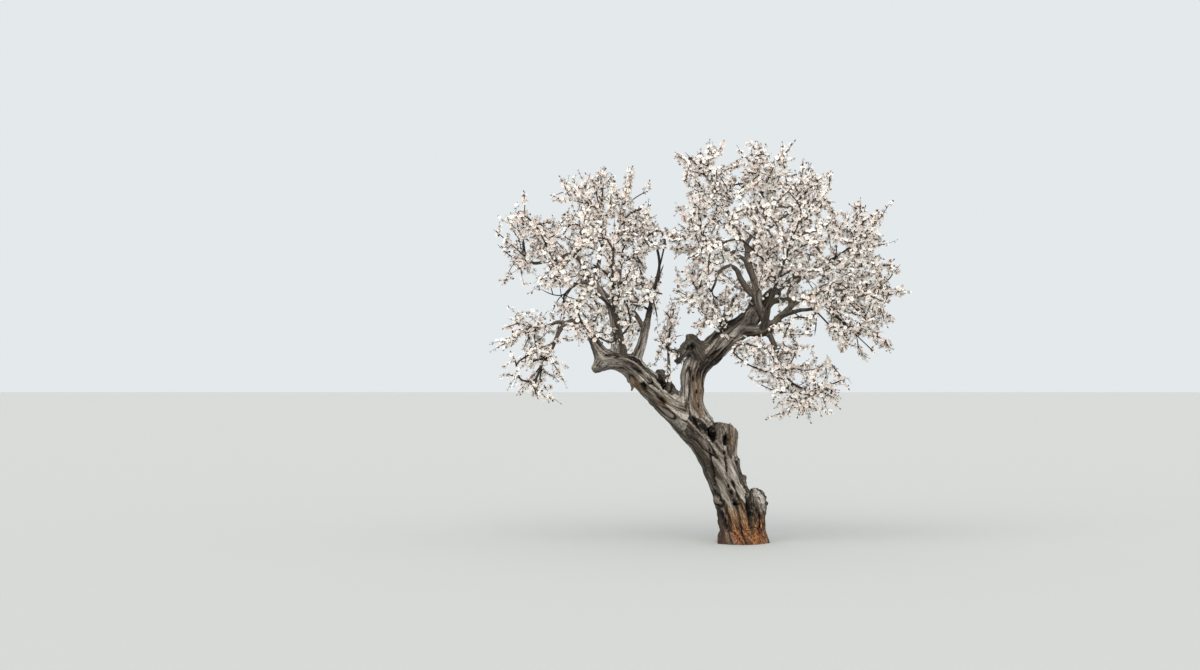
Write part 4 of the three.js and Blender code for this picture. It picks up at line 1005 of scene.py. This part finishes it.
# Fuller places: [x, z, y, half width, half height, twigs]
FULL = [
    [-141, 362, 0, 9, 9, 8], [-206, 304, -8, 14, 10, 8], [-183, 315, -4, 10, 8, 5], [-218, 272, 0, 12, 3, 4],
    [-142, 214, -55, 8, 12, 5], [-112, 208, -10, 6, 14, 9], [-203, 191, -26, 10, 8, 8],
    [-172, 206, -20, 12, 4, 4], [-103, 326, 0, 9, 11, 7], [-95, 340, 0, 2, 10, 3], [44, 376, -4, 8, 12, 6],
    [-8, 368, -8, 9, 16, 9], [150, 275, -6, 8, 4, 4], [-50, 352, -6, 8, 10, 5], [-85, 262, -8, 4, 16, 5],
    [-62, 293, -8, 8, 4, 4], [-6, 252, -8, 7, 10, 5], [-24, 338, -20, 14, 9, 9], [-95, 303, -6, 6, 6, 4],
    [-185, 257, 2, 12, 3, 4], [-24, 226, -12, 16, 8, 12], [-4, 194, -26, 10, 6, 8],
    [18, 194, -24, 9, 10, 10], [30, 178, -22, 12, 10, 8], [-50, 274, -10, 9, 6, 5], [-60, 262, -8, 6, 6, 4],
    [-75, 303, -14, 7, 6, 4], [-42, 232, -10, 6, 6, 4], [126, 225, -8, 8, 8, 6], [138, 278, 0, 12, 4, 4],
    [112, 275, 0, 10, 5, 4], [65, 208, -14, 4, 9, 4], [-64, 385, 4, 4, 9, 3], [-32, 392, 0, 4, 6, 3],
    [70, 150, -20, 18, 10, 10], [52, 150, -24, 16, 10, 8], [14, 388, -4, 5, 9, 6], [-221, 338, -4, 3, 8, 4],
    [-208, 287, 0, 5, 5, 4], [-40, 278, -8, 9, 6, 7], [-146, 225, -10, 8, 12, 6], [128, 303, 0, 9, 4, 4],
    [150, 248, -4, 8, 3, 4], [44, 193, -18, 8, 3, 4], [-252, 314, 0, 4, 4, 3], [-230, 322, -4, 6, 5, 4],
    [-176, 300, -4, 5, 8, 4], [-177, 273, 0, 8, 5, 4], [-143, 353, -4, 3, 7, 4], [-113, 352, -4, 5, 6, 4],
    [-55, 326, -6, 4, 6, 4], [-4, 236, -10, 7, 4, 4], [30, 228, -12, 5, 6, 4], [-138, 200, -10, 5, 5, 4],
    [-150, 222, -6, 5, 6, 4], [100, 300, -6, 5, 4, 4], [-2, 194, -12, 8, 5, 5], [-56, 358, -4, 5, 6, 4],
    [124, 184, -6, 8, 3, 4], [72, 180, -14, 5, 6, 5], [114, 342, -4, 5, 5, 4], [158, 273, -2, 5, 6, 4],
    [154, 245, -2, 9, 3, 4], [142, 198, -4, 7, 3, 4],
]
THIN = {"left_wing_blossom": 0.6, "right_hanging_blossom": 0.85, "left_low_blossom": 0.8,
        "left_middle_blossom": 0.75, "left_front_blossom": 0.6, "left_back_blossom": 0.6,
        "right_front_blossom": 0.7, "right_back_blossom": 0.7}
HANGING = {"left_hanging_blossom": 0.75, "right_hanging_blossom": 0.6, "right_low_blossom": 0.35,
           "left_low_blossom": 0.3, "fork_shoot_blossom": -0.3}
FINER_SEED = 35
reach_low, reach_high = (np.array(c) / MM for c in cad_box)
BEYOND = 25.0  # millimetres that a shoot may pass the tree's own reach


def within_reach(point):
    return bool((point > reach_low - BEYOND).all() and (point < reach_high + BEYOND).all())


# The crown is deepest at the height WIDEST, and rounds off above and below it, in millimetres
DEEPEST, WIDEST, ROUND_ABOVE, ROUND_BELOW = 1230.0, 2800.0, 1900.0, 2200.0
# Its face is uneven: the share that is always there, the share that comes and goes, and how far apart that is
ALWAYS, UNEVEN, UNEVEN_ACROSS, UNEVEN_UP = 0.94, 0.06, 140, 110


def in_crown(point):
    """Whether a point lies in the reach, which the crown's front and back leave rounded and ragged."""
    uneven = math.sin(point[0] / UNEVEN_ACROSS) * math.cos(point[2] / UNEVEN_UP)
    rise = (point[2] - WIDEST) / (ROUND_ABOVE if point[2] > WIDEST else ROUND_BELOW)
    return within_reach(point) and math.hypot(point[1] / (DEEPEST * (ALWAYS + UNEVEN * uneven)), rise) < 1


def normed(way):
    """A direction as an array of length 1."""
    return way / np.linalg.norm(way)


FINER_TRIES, FINER_EDGE, FINER_CLEARANCE = 6, 1.1, 15
FULL_DEPTH, FULL_CLEARANCE = 30, 12  # centimetres to the front and back of a fuller place, and millimetres


def finer_goals(mass, goals, count):
    """Places through the whole space, each the one of a few that lies furthest from the rest."""
    made = [np.array(g) for g in goals]
    for _ in range(count):
        best, widest = None, 0.0
        for _ in range(FINER_TRIES):
            way = normed(random.normal(0, 1, 3))
            point = centres[mass] + way * radii[mass] * FINER_EDGE * random.uniform(0.02, 1) ** 0.4
            free = in_space(mass, point, FINER_EDGE) and bark_distance(point) >= FINER_CLEARANCE
            if not free or not in_crown(point) or in_gap(point):
                continue
            apart = min(np.linalg.norm(g - point) for g in made)
            if apart > widest:
                best, widest = point, apart
        if best is not None:
            made.append(best)
    for x, z, y, half_x, half_z, more in FULL:
        for _ in range(more):
            point = np.array(place([x + half_x * random.uniform(-1, 1), z + half_z * random.uniform(-1, 1),
                                    y + FULL_DEPTH * random.uniform(-1, 1)]))
            free = in_space(mass, point, LONGEST_SHOOT) and bark_distance(point) > FULL_CLEARANCE
            if free and in_crown(point):
                made.append(point)
    return [list(g) for g in made[len(goals):]]


grown = []  # (mass, nodes, radius of each node, chains)
for mass, (name, (_, _, _, tips)) in enumerate(MASSES.items()):
    start, along, foot_radius = stems[name]
    nodes = [{"at": start, "from": -1, "along": unit(along), "forks": 0}]
    goals = goals_of(mass, tips, seeded(SEED + NEXT_SEED * mass))
    random = np.random.default_rng([FINER_SEED, mass])
    grow_twigs(mass, nodes, goals)
    room = BALL * np.prod(radii[mass]) * MM**3
    grow_twigs(mass, nodes, finer_goals(mass, goals, int(CROWDED * room * THIN.get(name, 1.0))), finer=True)
    shares = tip_shares(nodes)
    thick = [OLD_TIP + (foot_radius - OLD_TIP) * share**STOUT for share in shares]
    grown.append((mass, nodes, thick, chains_of(nodes, shares)))

# Short shoots leave the twigs. Shoots and twigs bear clusters of blossom, each turned round from the last.
strands = []  # lines [x, y, z, radius] in millimetres, each with its number of sides
blooms = []  # (place, direction it faces, turn, spray)
tufts = []  # young leaves at the tips and clusters, and the husks of last year, in the same way
husks = []
sprays = 0
SPUR_APART = 46.0  # millimetres from one cluster of blossoms to the next
CLUSTER = [0.5, 0.34, 0.16]  # how often a cluster has one, two or three
LEAFY, HUSKED = 0.4, 0.11  # how often it has young leaves too, or a dry husk
CLUSTER_TURN, BLOOM_TURN = 2.4, 2.1  # radians round the shoot to the next cluster, and in it
AROUND = 6.28  # radians, once round
THICKEST = 9.0  # radius in millimetres of the wood that still bears blossom
STALK, HUSK_STALK = (5, 15), 8  # millimetres from the bark to a blossom, and to a husk
SHOOT_POINTS, SHOOT_SIDES = 4, 3
SHOOT_CLEARANCE = (12, 34)  # millimetres from a shoot's foot to its first cluster


def outwards(angle, across, other):
    """The way out of a shoot or limb, at an angle round it."""
    return math.cos(angle) * across + math.sin(angle) * other


def part_at(run, s):
    """Which part of a line lies at a distance along it."""
    return min(int(np.searchsorted(run, s, "right")) - 1, len(run) - 2)


def arched(start, way, length, lift):
    """Points of a shoot that bends up, or down where lift is below 0."""
    u = np.linspace(0, 1, SHOOT_POINTS)[:, None]
    return np.asarray(start) + way * length * u + np.array([0, 0, lift * length]) * u * u


def set_blooms(line, first, spray):
    """Clusters of blossoms along a shoot, turned round it, from a distance along it to its tip."""
    _, across, other = frames_of(line)
    run = lengths_along(line)
    angle = random.uniform(0, 2 * math.pi)
    s = first
    while s < run[-1]:
        i = part_at(run, s)
        part = (s - run[i]) / (run[i + 1] - run[i])
        middle = line[i] + (line[i + 1] - line[i]) * part
        s += SPUR_APART * random.uniform(0.6, 1.4)
        if middle[3] > THICKEST:
            continue
        angle += CLUSTER_TURN
        if in_gap(middle[:3]):
            continue
        side = normed(outwards(angle + 1, across[i], other[i]) + random.normal(0, 0.3, 3))
        if random.uniform() < LEAFY:
            tufts.append((middle[:3] + side * middle[3], side, random.uniform(0, AROUND), spray))
        elif random.uniform() < HUSKED:
            hung = middle[:3] + side * (middle[3] + HUSK_STALK)
            husks.append((hung, side, random.uniform(0, AROUND), spray))
        along = line[i + 1, :3] - line[i, :3]
        for k in range(random.choice(3, p=CLUSTER) + 1):
            turn = angle + k * BLOOM_TURN + random.normal(0, 0.3)
            out = outwards(turn, across[i], other[i])
            facing = out + 0.35 * along / np.linalg.norm(along) + np.array([0, 0, 0.2])
            facing = normed(facing + random.normal(0, 0.25, 3))
            at = middle[:3] + out * (middle[3] + random.uniform(*STALK))
            if within_reach(at):
                blooms.append((at, facing, random.uniform(0, AROUND), spray))


def shoot(mass, at, way, length, lift, radius):
    """One shoot with its blossoms, unless it would leave the space or touch a limb."""
    global sprays
    points = arched(at, normed(way), length, lift)
    for p in points[1:]:
        if mass is not None and not in_space(mass, p, LONGEST_SHOOT):
            return False
        if bark_distance(p) < LIMB_CLEARANCE or not in_crown(p) or in_gap(p):
            return False
    sprays += 1
    line = np.c_[points, radius * np.linspace(1, 0.5, SHOOT_POINTS)]
    strands.append((line, SHOOT_SIDES))
    set_blooms(line, random.uniform(*SHOOT_CLEARANCE), sprays)
    tufts.append((points[-1], normed(points[-1] - points[-2]), random.uniform(0, AROUND), sprays))
    return True


SHOOT_TRIES = 3
TIP_SHOOT, SIDE_SHOOT = (70, 200), (45, 150)  # lengths in millimetres
TIP_RADIUS, SIDE_RADIUS = 3.2, 3.0
YOUNG, SIDE_SHOOTS = 14, 0.55  # radius in millimetres of wood that bears side shoots, and how often it does
UPRIGHT_FROM, UPRIGHT_OVER = 2600, 900  # the highest shoots stand upright, from this height over so much
STOUT_TWIG, TWIG_END = 8, 0.8  # radii in millimetres: a twig with six sides, and where a twig ends bare
TWIG_CLEARANCE = (20, 60)  # millimetres from a twig's foot to its first cluster
for mass, nodes, thick, chains in grown:
    random = np.random.default_rng([FINER_SEED, mass, 1])
    hang = HANGING.get(mass_names[mass], 0.0)
    lift = 0.12 - 0.4 * hang
    tips = set(range(len(nodes))) - {n["from"] for n in nodes}
    carried_on = set()
    for i, here in enumerate(nodes[1:], 1):
        at, along = np.array(here["at"]), np.array(here["along"])
        outward = (at - centres[mass]) / radii[mass]
        outward /= np.linalg.norm(outward) + 1e-6
        rising = min(max((at[2] - UPRIGHT_FROM) / UPRIGHT_OVER, 0), 1)
        up = np.array([0, 0, 0.25 + 0.35 * rising - hang])
        if i in tips:
            for _ in range(SHOOT_TRIES):
                way = along + 0.4 * up + random.normal(0, 0.15, 3)
                if shoot(mass, at, way, random.uniform(*TIP_SHOOT), lift, TIP_RADIUS):
                    carried_on.add(i)
                    break
        if thick[i] < YOUNG and random.uniform() < SIDE_SHOOTS:
            for _ in range(SHOOT_TRIES):
                way = along * 0.5 + outward * 0.4 + random.normal(0, 0.6, 3) + up
                if shoot(mass, at, way, random.uniform(*SIDE_SHOOT), lift, SIDE_RADIUS):
                    break
    for chain in chains:
        own = [thick[chain[1]] if i == 0 and chain[0] != 0 else thick[n] for i, n in enumerate(chain)]
        if chain[-1] not in carried_on:
            own[-1] = TWIG_END
        line = np.array(smooth_line([[*nodes[n]["at"], r] for n, r in zip(chain, own)], 2))
        strands.append((line, 6 if line[0, 3] > STOUT_TWIG else 4))
        sprays += 1
        set_blooms(line, random.uniform(*TWIG_CLEARANCE), sprays)

# Young twigs that leave the bark of the upper limbs themselves, and hide them in blossom
LIMB_SHOOT, LIMB_SHOOTS_APART = (90, 230), (60, 110)  # millimetres
BARE_FOOT, BARE_SHOOT, BARE_SHARE = 60.0, 0.55, 0.25  # how much of a limb's foot bears none, at least 60 mm
random = np.random.default_rng(FINER_SEED)
for name in BLOOMING:
    line = wood[name]
    along, across, other = wood_frames[name]
    run = lengths_along(line)
    s = BARE_SHOOT * run[-1] if name == "fork_shoot" else max(BARE_SHARE * run[-1], BARE_FOOT)
    angle = random.uniform(0, AROUND)
    while s < run[-1]:
        i = part_at(run, s)
        s += random.uniform(*LIMB_SHOOTS_APART)
        angle += CLUSTER_TURN
        out = outwards(angle, across[i], other[i])
        way = out + along[i] * 0.5 + np.array([0, 0, 0.35])
        start = line[i, :3] + out * line[i, 3] * 0.8
        shoot(None, start, way, random.uniform(*LIMB_SHOOT), 0.1, SIDE_RADIUS)

# Young almond bark: smooth and red-brown, with a grey skin in patches about 110 mm long. Its lenticels are
# drawn 6 mm apart, coarser than they are, so that they roughen the twigs at all.
SKIN_PATCHES, LENTICELS = 9.0, 160.0  # to a metre
twig_bark, shader = new_material("young_almond_bark", Roughness=0.7, IOR=1.45)
where = new_node(twig_bark, "ShaderNodeTexCoord", {}).outputs["Object"]
skin_tone = new_node(twig_bark, "ShaderNodeTexNoise", {"Vector": where, "Scale": SKIN_PATCHES, "Detail": 4.0})
tone = new_node(twig_bark, "ShaderNodeValToRGB", {"Fac": skin_tone.outputs["Fac"]},
                stops=[(0.36, "#1a130e"), (0.66, "#4b4037"), (0.5, "#2c2119")]).outputs[0]
twig_bark.node_tree.links.new(tone, shader.inputs["Base Color"])
lenticels = new_node(twig_bark, "ShaderNodeTexNoise", {"Vector": where, "Scale": LENTICELS, "Detail": 2.0})
dotted = new_node(twig_bark, "ShaderNodeBump", {"Height": lenticels.outputs["Fac"], "Strength": 0.4,
                                                "Distance": 0.001})
twig_bark.node_tree.links.new(dotted.outputs[0], shader.inputs["Normal"])


def put_part(name, part, material, slot, *nodes):
    """Corners in millimetres, with their triangles, as a piece of the tree."""
    corners, triangles = part
    put(name, mesh_of(name, corners * MM, triangles), material, slot, *nodes)


put_part("twigs", joined([tube(line, sides) for line, sides in strands]), twig_bark, "bark")

# Petals
# Each blossom has five thin notched petals, white to pale pink, and sits almost straight on the shoot. Some
# are wide open and some half shut, and all the blossoms of a spray keep one colour.
PETAL = 24.0  # millimetres from a blossom's middle to its rim
SMALLEST, LARGEST = 0.85, 1.12  # shares of that
PETAL_OUTLINE = np.array([  # across, outwards and up, in shares of the petal
    [0, 0.08, 0.0], [-0.44, 0.62, 0.10], [0.44, 0.62, 0.10], [0, 0.90, 0.02], [-0.24, 1.0, 0.09],
    [0.24, 1.0, 0.09],
])
PETAL_FACES = np.array([[0, 3, 1], [0, 2, 3], [1, 3, 4], [3, 2, 5]])
PETALS, KIND_TURN = 5, 0.3  # a kind is turned that much, in radians, from the one before
OPENING = [0.16, 0.34, 0.52, 0.8]  # radians of four kinds of blossom, from wide open to half shut
HOW_MANY = [0.34, 0.34, 0.22, 0.10]
IN_BUD = 0.09  # how many of the blossoms are still buds
PETAL_COLOURS = [  # piece, colour and how many of the sprays have it
    ("white_petals", "#fffbf5", 0.50), ("cream_petals", "#fdf4eb", 0.36), ("blush_petals", "#f9e9df", 0.14)]
PETAL_VEINS = 130.0  # to a metre: 8 mm from one to the next, coarser than real veins so that they show


def ringed(outline, faces, count, turn=0.0):
    """A part that stands round the middle of a blossom, so many times."""
    made = []
    x, y, z = outline.T
    for k in range(count):
        angle = turn + 2 * math.pi * k / count
        c, s = math.cos(angle), math.sin(angle)
        made.append((np.stack([x * c - y * s, x * s + y * c, z], 1), faces))
    return joined(made)


def opened(outline, angle):
    """A part tipped up from flat by an angle, so that a blossom is that much less open."""
    x, y, z = outline.T
    c, s = math.cos(angle), math.sin(angle)
    return np.stack([x, y * c - z * s, y * s + z * c], 1)


petal_kinds = [ringed(opened(PETAL_OUTLINE, angle), PETAL_FACES, PETALS, KIND_TURN * i)
               for i, angle in enumerate(OPENING)]


def stood(places):
    """The middles, sprays and axes (across, outwards and up) of things that stand on the twigs."""
    centre, facing = np.array([p[0] for p in places]), np.array([p[1] for p in places])
    turn, spray = np.array([p[2] for p in places]), np.array([p[3] for p in places])
    upright = np.where(np.abs(facing[:, 2:3]) > 0.9, [[1.0, 0, 0]], [[0, 0, 1.0]])
    side = np.cross(upright, facing)
    side /= np.linalg.norm(side, axis=1)[:, None]
    other = np.cross(facing, side)
    lead = np.cos(turn)[:, None] * side + np.sin(turn)[:, None] * other
    return centre, spray, np.stack([lead, np.cross(facing, lead), facing], 1)


def planted(template, centre, axes, width):
    """A template at each of those places, as the corners and triangles of one mesh."""
    outline, faces = template
    made = centre[:, None] + np.einsum("vk,nkj->nvj", outline, axes * width[:, None, None])
    starts = np.arange(len(centre))[:, None, None] * len(outline)
    return made.reshape(-1, 3), (faces[None] + starts).reshape(-1, 3)


centre, spray, axes = stood(blooms)
width = PETAL * random.uniform(SMALLEST, LARGEST, len(blooms))
kind = random.choice(len(OPENING), len(blooms), p=HOW_MANY)
colour_of_spray = random.choice(3, sprays + 1, p=[share for *_, share in PETAL_COLOURS])
in_bud = random.uniform(0, 1, len(blooms)) < IN_BUD
for number, (name, colour, _) in enumerate(PETAL_COLOURS):
    # Matt silk, with a soft sheen and hardly any gloss, and veins that crinkle it
    silk, shader = new_material(name, Base_Color=linear(colour), Roughness=0.6, IOR=1.4, Sheen_Weight=0.3,
                                Specular_IOR_Level=0.25)
    veins = new_node(silk, "ShaderNodeTexNoise", {"Scale": PETAL_VEINS, "Detail": 3.0})
    crinkle = new_node(silk, "ShaderNodeBump", {"Height": veins.outputs["Fac"], "Strength": 0.2,
                                                "Distance": 0.001})
    silk.node_tree.links.new(crinkle.outputs[0], shader.inputs["Normal"])
    parts = []
    for k, petals in enumerate(petal_kinds):
        own = (colour_of_spray[spray] == number) & ~in_bud & (kind == k)
        parts.append(planted(petals, centre[own], axes[own], width[own]))
    put_part(name, joined(parts), silk, "blossom", *(mass_names if number == 0 else ()))

# Throats and stamens
# The middle of an open blossom is a dark pink disc, and five pale threads stand up round it as a brush. Both
# are made of one facet or a few, because they show as no more than a point of colour.
open_places = [values[~in_bud] for values in (centre, axes, width)]
around = np.arange(PETALS) * 2 * math.pi / PETALS
ring = np.stack([np.cos(around), np.sin(around), 0 * around], 1)
throat = (ring * 0.21 + [0, 0, 0.055], np.array([[0, 1, 2], [0, 2, 3], [0, 3, 4]]))
thread = np.array([[-0.05, 0.03, 0.04], [0.05, 0.03, 0.04], [0.0, 0.24, 0.34]])
stamens = ringed(thread, np.array([[0, 1, 2]]), PETALS)


def mottled(name, patch, stops, **values):
    """A material that goes from colour to colour in patches of a size in millimetres."""
    material, shader = new_material(name, **values)
    where = new_node(material, "ShaderNodeTexCoord", {}).outputs["Object"]
    spread = new_node(material, "ShaderNodeTexNoise", {"Vector": where, "Scale": 1 / (patch * MM),
                                                       "Detail": 3.0}).outputs["Fac"]
    tone = new_node(material, "ShaderNodeValToRGB", {"Fac": spread}, stops=stops).outputs[0]
    material.node_tree.links.new(tone, shader.inputs["Base Color"])
    return material


throat_pink = mottled("flushed_throat", 30, [(0.38, "#a5635f"), (0.64, "#cf9d94")], Roughness=0.6)
put_part("throats", planted(throat, *open_places), throat_pink, "blossom")
brush = mottled("stamen_threads", 6, [(0.4, "#f0dcc8"), (0.62, "#d9ae6a")], Roughness=0.6)
put_part("stamens", planted(stamens, *open_places), brush, "blossom")

# Sepals
# A red-brown cup of five sepals holds every blossom and bud from behind, and tapers to the bud's short stalk.
# It is a matt skin, darker in patches.
fan = np.array([[PETALS, k, (k + 1) % PETALS] for k in range(PETALS)])
sepals = (np.concatenate([ring * 0.24 - [0, 0, 0.02], [[0, 0, -0.34]]]), fan[:, [0, 2, 1]])
cup_red = mottled("red_brown_sepals", 25, [(0.38, "#3d241d"), (0.64, "#6b4a3b")], Roughness=0.7)
put_part("sepals", planted(sepals, centre, axes, width), cup_red, "blossom")

# Buds
# One blossom in eleven is still a bud, with its petals rolled to a point, and pinker than the open ones. It
# sits in its cup as they do.
bud = (np.concatenate([ring * 0.17 + [0, 0, 0.12], [[0, 0, 0.5]]]), fan[:, [1, 2, 0]])
bud_pink = mottled("rolled_buds", 20, [(0.38, "#d09a95"), (0.62, "#ecd0c6")], Roughness=0.55)
put_part("buds", planted(bud, centre[in_bud], axes[in_bud], width[in_bud]), bud_pink, "blossom")

# Young leaves
# Small folded blades break in pairs from the same spurs as the blossoms, and from the tip of each shoot. They
# are bronze before they green, and dull.
LEAF = (18, 32)  # millimetres long
leaf_blade = np.array([[0, 0, 0.0], [-0.21, 0.20, 0.45], [0, 0.12, 0.5], [0.21, 0.20, 0.45], [0, 0.34, 1.0]])
leaf_pair = ringed(leaf_blade, np.array([[0, 2, 1], [1, 2, 4], [0, 3, 2], [2, 3, 4]]), 2)
bronze = mottled("bronze_young_leaves", 80, [(0.38, "#38261b"), (0.64, "#6b4e38")], Roughness=0.6, IOR=1.45)
centre, _, axes = stood(tufts)
put_part("young_leaves", planted(leaf_pair, centre, axes, random.uniform(*LEAF, len(tufts))), bronze, "bark")

# Husks
# Last year's almonds that never fell hang on, dried to a dark grey-brown with a matt, leathery face. Each is
# a rounded pod with a point, close to the wood.
HUSK = (24, 36)  # millimetres long
husk_faces = []
for k in range(PETALS):
    after = (k + 1) % PETALS
    husk_faces += [[10, after, k], [k, after, k + 5], [after, after + 5, k + 5], [k + 5, after + 5, 11]]
husk = (np.concatenate([ring * [0.36, 0.3, 0] + [0, 0, 0.3], ring * [0.3, 0.26, 0] + [0, 0, 0.66],
                        [[0, 0, 0.0], [0.05, 0, 1.0]]]), np.array(husk_faces))
dry_husk = mottled("dry_husks", 16, [(0.4, "#2a1d16"), (0.62, "#644a3a")], Roughness=0.9, IOR=1.4)
centre, _, axes = stood(husks)
put_part("husks", planted(husk, centre, axes, random.uniform(*HUSK, len(husks))), dry_husk, "bark")

# Floor, light and camera
# The tree stands on a plain pale floor under a wide soft light, seen from where the photograph was taken.
# The floor lies a little under the tree's flat foot.
FLOOR, UNDER = 300.0, 0.002  # metres: half its width, and how far it lies under the foot
floor_corners = np.array([[-1, -1, 0], [1, -1, 0], [1, 1, 0], [-1, 1, 0]]) * FLOOR - [0, 0, UNDER]
floor_mesh = mesh_of("floor", floor_corners, np.array([[0, 1, 2], [0, 2, 3]]))
floor = bpy.data.objects.new("floor", floor_mesh)
bpy.context.collection.objects.link(floor)
floor_paint, _ = new_material("matt_floor", Base_Color=linear("#c4c5c2"), Roughness=0.95)
floor_mesh.materials.append(floor_paint)

world = bpy.data.worlds.new("pale_studio")
world.use_nodes = True
world.node_tree.nodes["Background"].inputs["Color"].default_value = linear("#e4e9ec")
world.node_tree.nodes["Background"].inputs["Strength"].default_value = 1.0
bpy.context.scene.world = world
WARM_WHITE = (1.0, 0.96, 0.91)
# Each light: the way it shines, how wide it is in degrees, and its strength
LIGHTS = {"soft_key": ((0.45, 0.85, -0.85), 70, 1.6), "soft_fill": ((-0.8, 0.6, -0.6), 90, 0.6)}
for name, (way, wide, strength) in LIGHTS.items():
    lamp = bpy.data.lights.new(name, "SUN")
    lamp.angle, lamp.energy, lamp.color = math.radians(wide), strength, WARM_WHITE
    holder = bpy.data.objects.new(name, lamp)
    bpy.context.collection.objects.link(holder)
    holder.rotation_euler = Vector(way).to_track_quat("-Z", "Y").to_euler()

LENS, SENSOR, LOOKS_UP = 50.0, 36.0, 1.68  # millimetres, and degrees above level
FURTHEST_SEEN = 600  # metres
view = bpy.data.cameras.new("camera")
view.lens, view.sensor_width = LENS, SENSOR
view.clip_end = FURTHEST_SEEN
camera = bpy.data.objects.new("camera", view)
bpy.context.collection.objects.link(camera)
camera.location = (EYE_X * MM, EYE_Y * MM, EYE_Z * MM)
camera.rotation_euler = (math.radians(90 + LOOKS_UP), 0, 0)
bpy.context.scene.camera = camera
bpy.context.scene.view_settings.view_transform = "Standard"
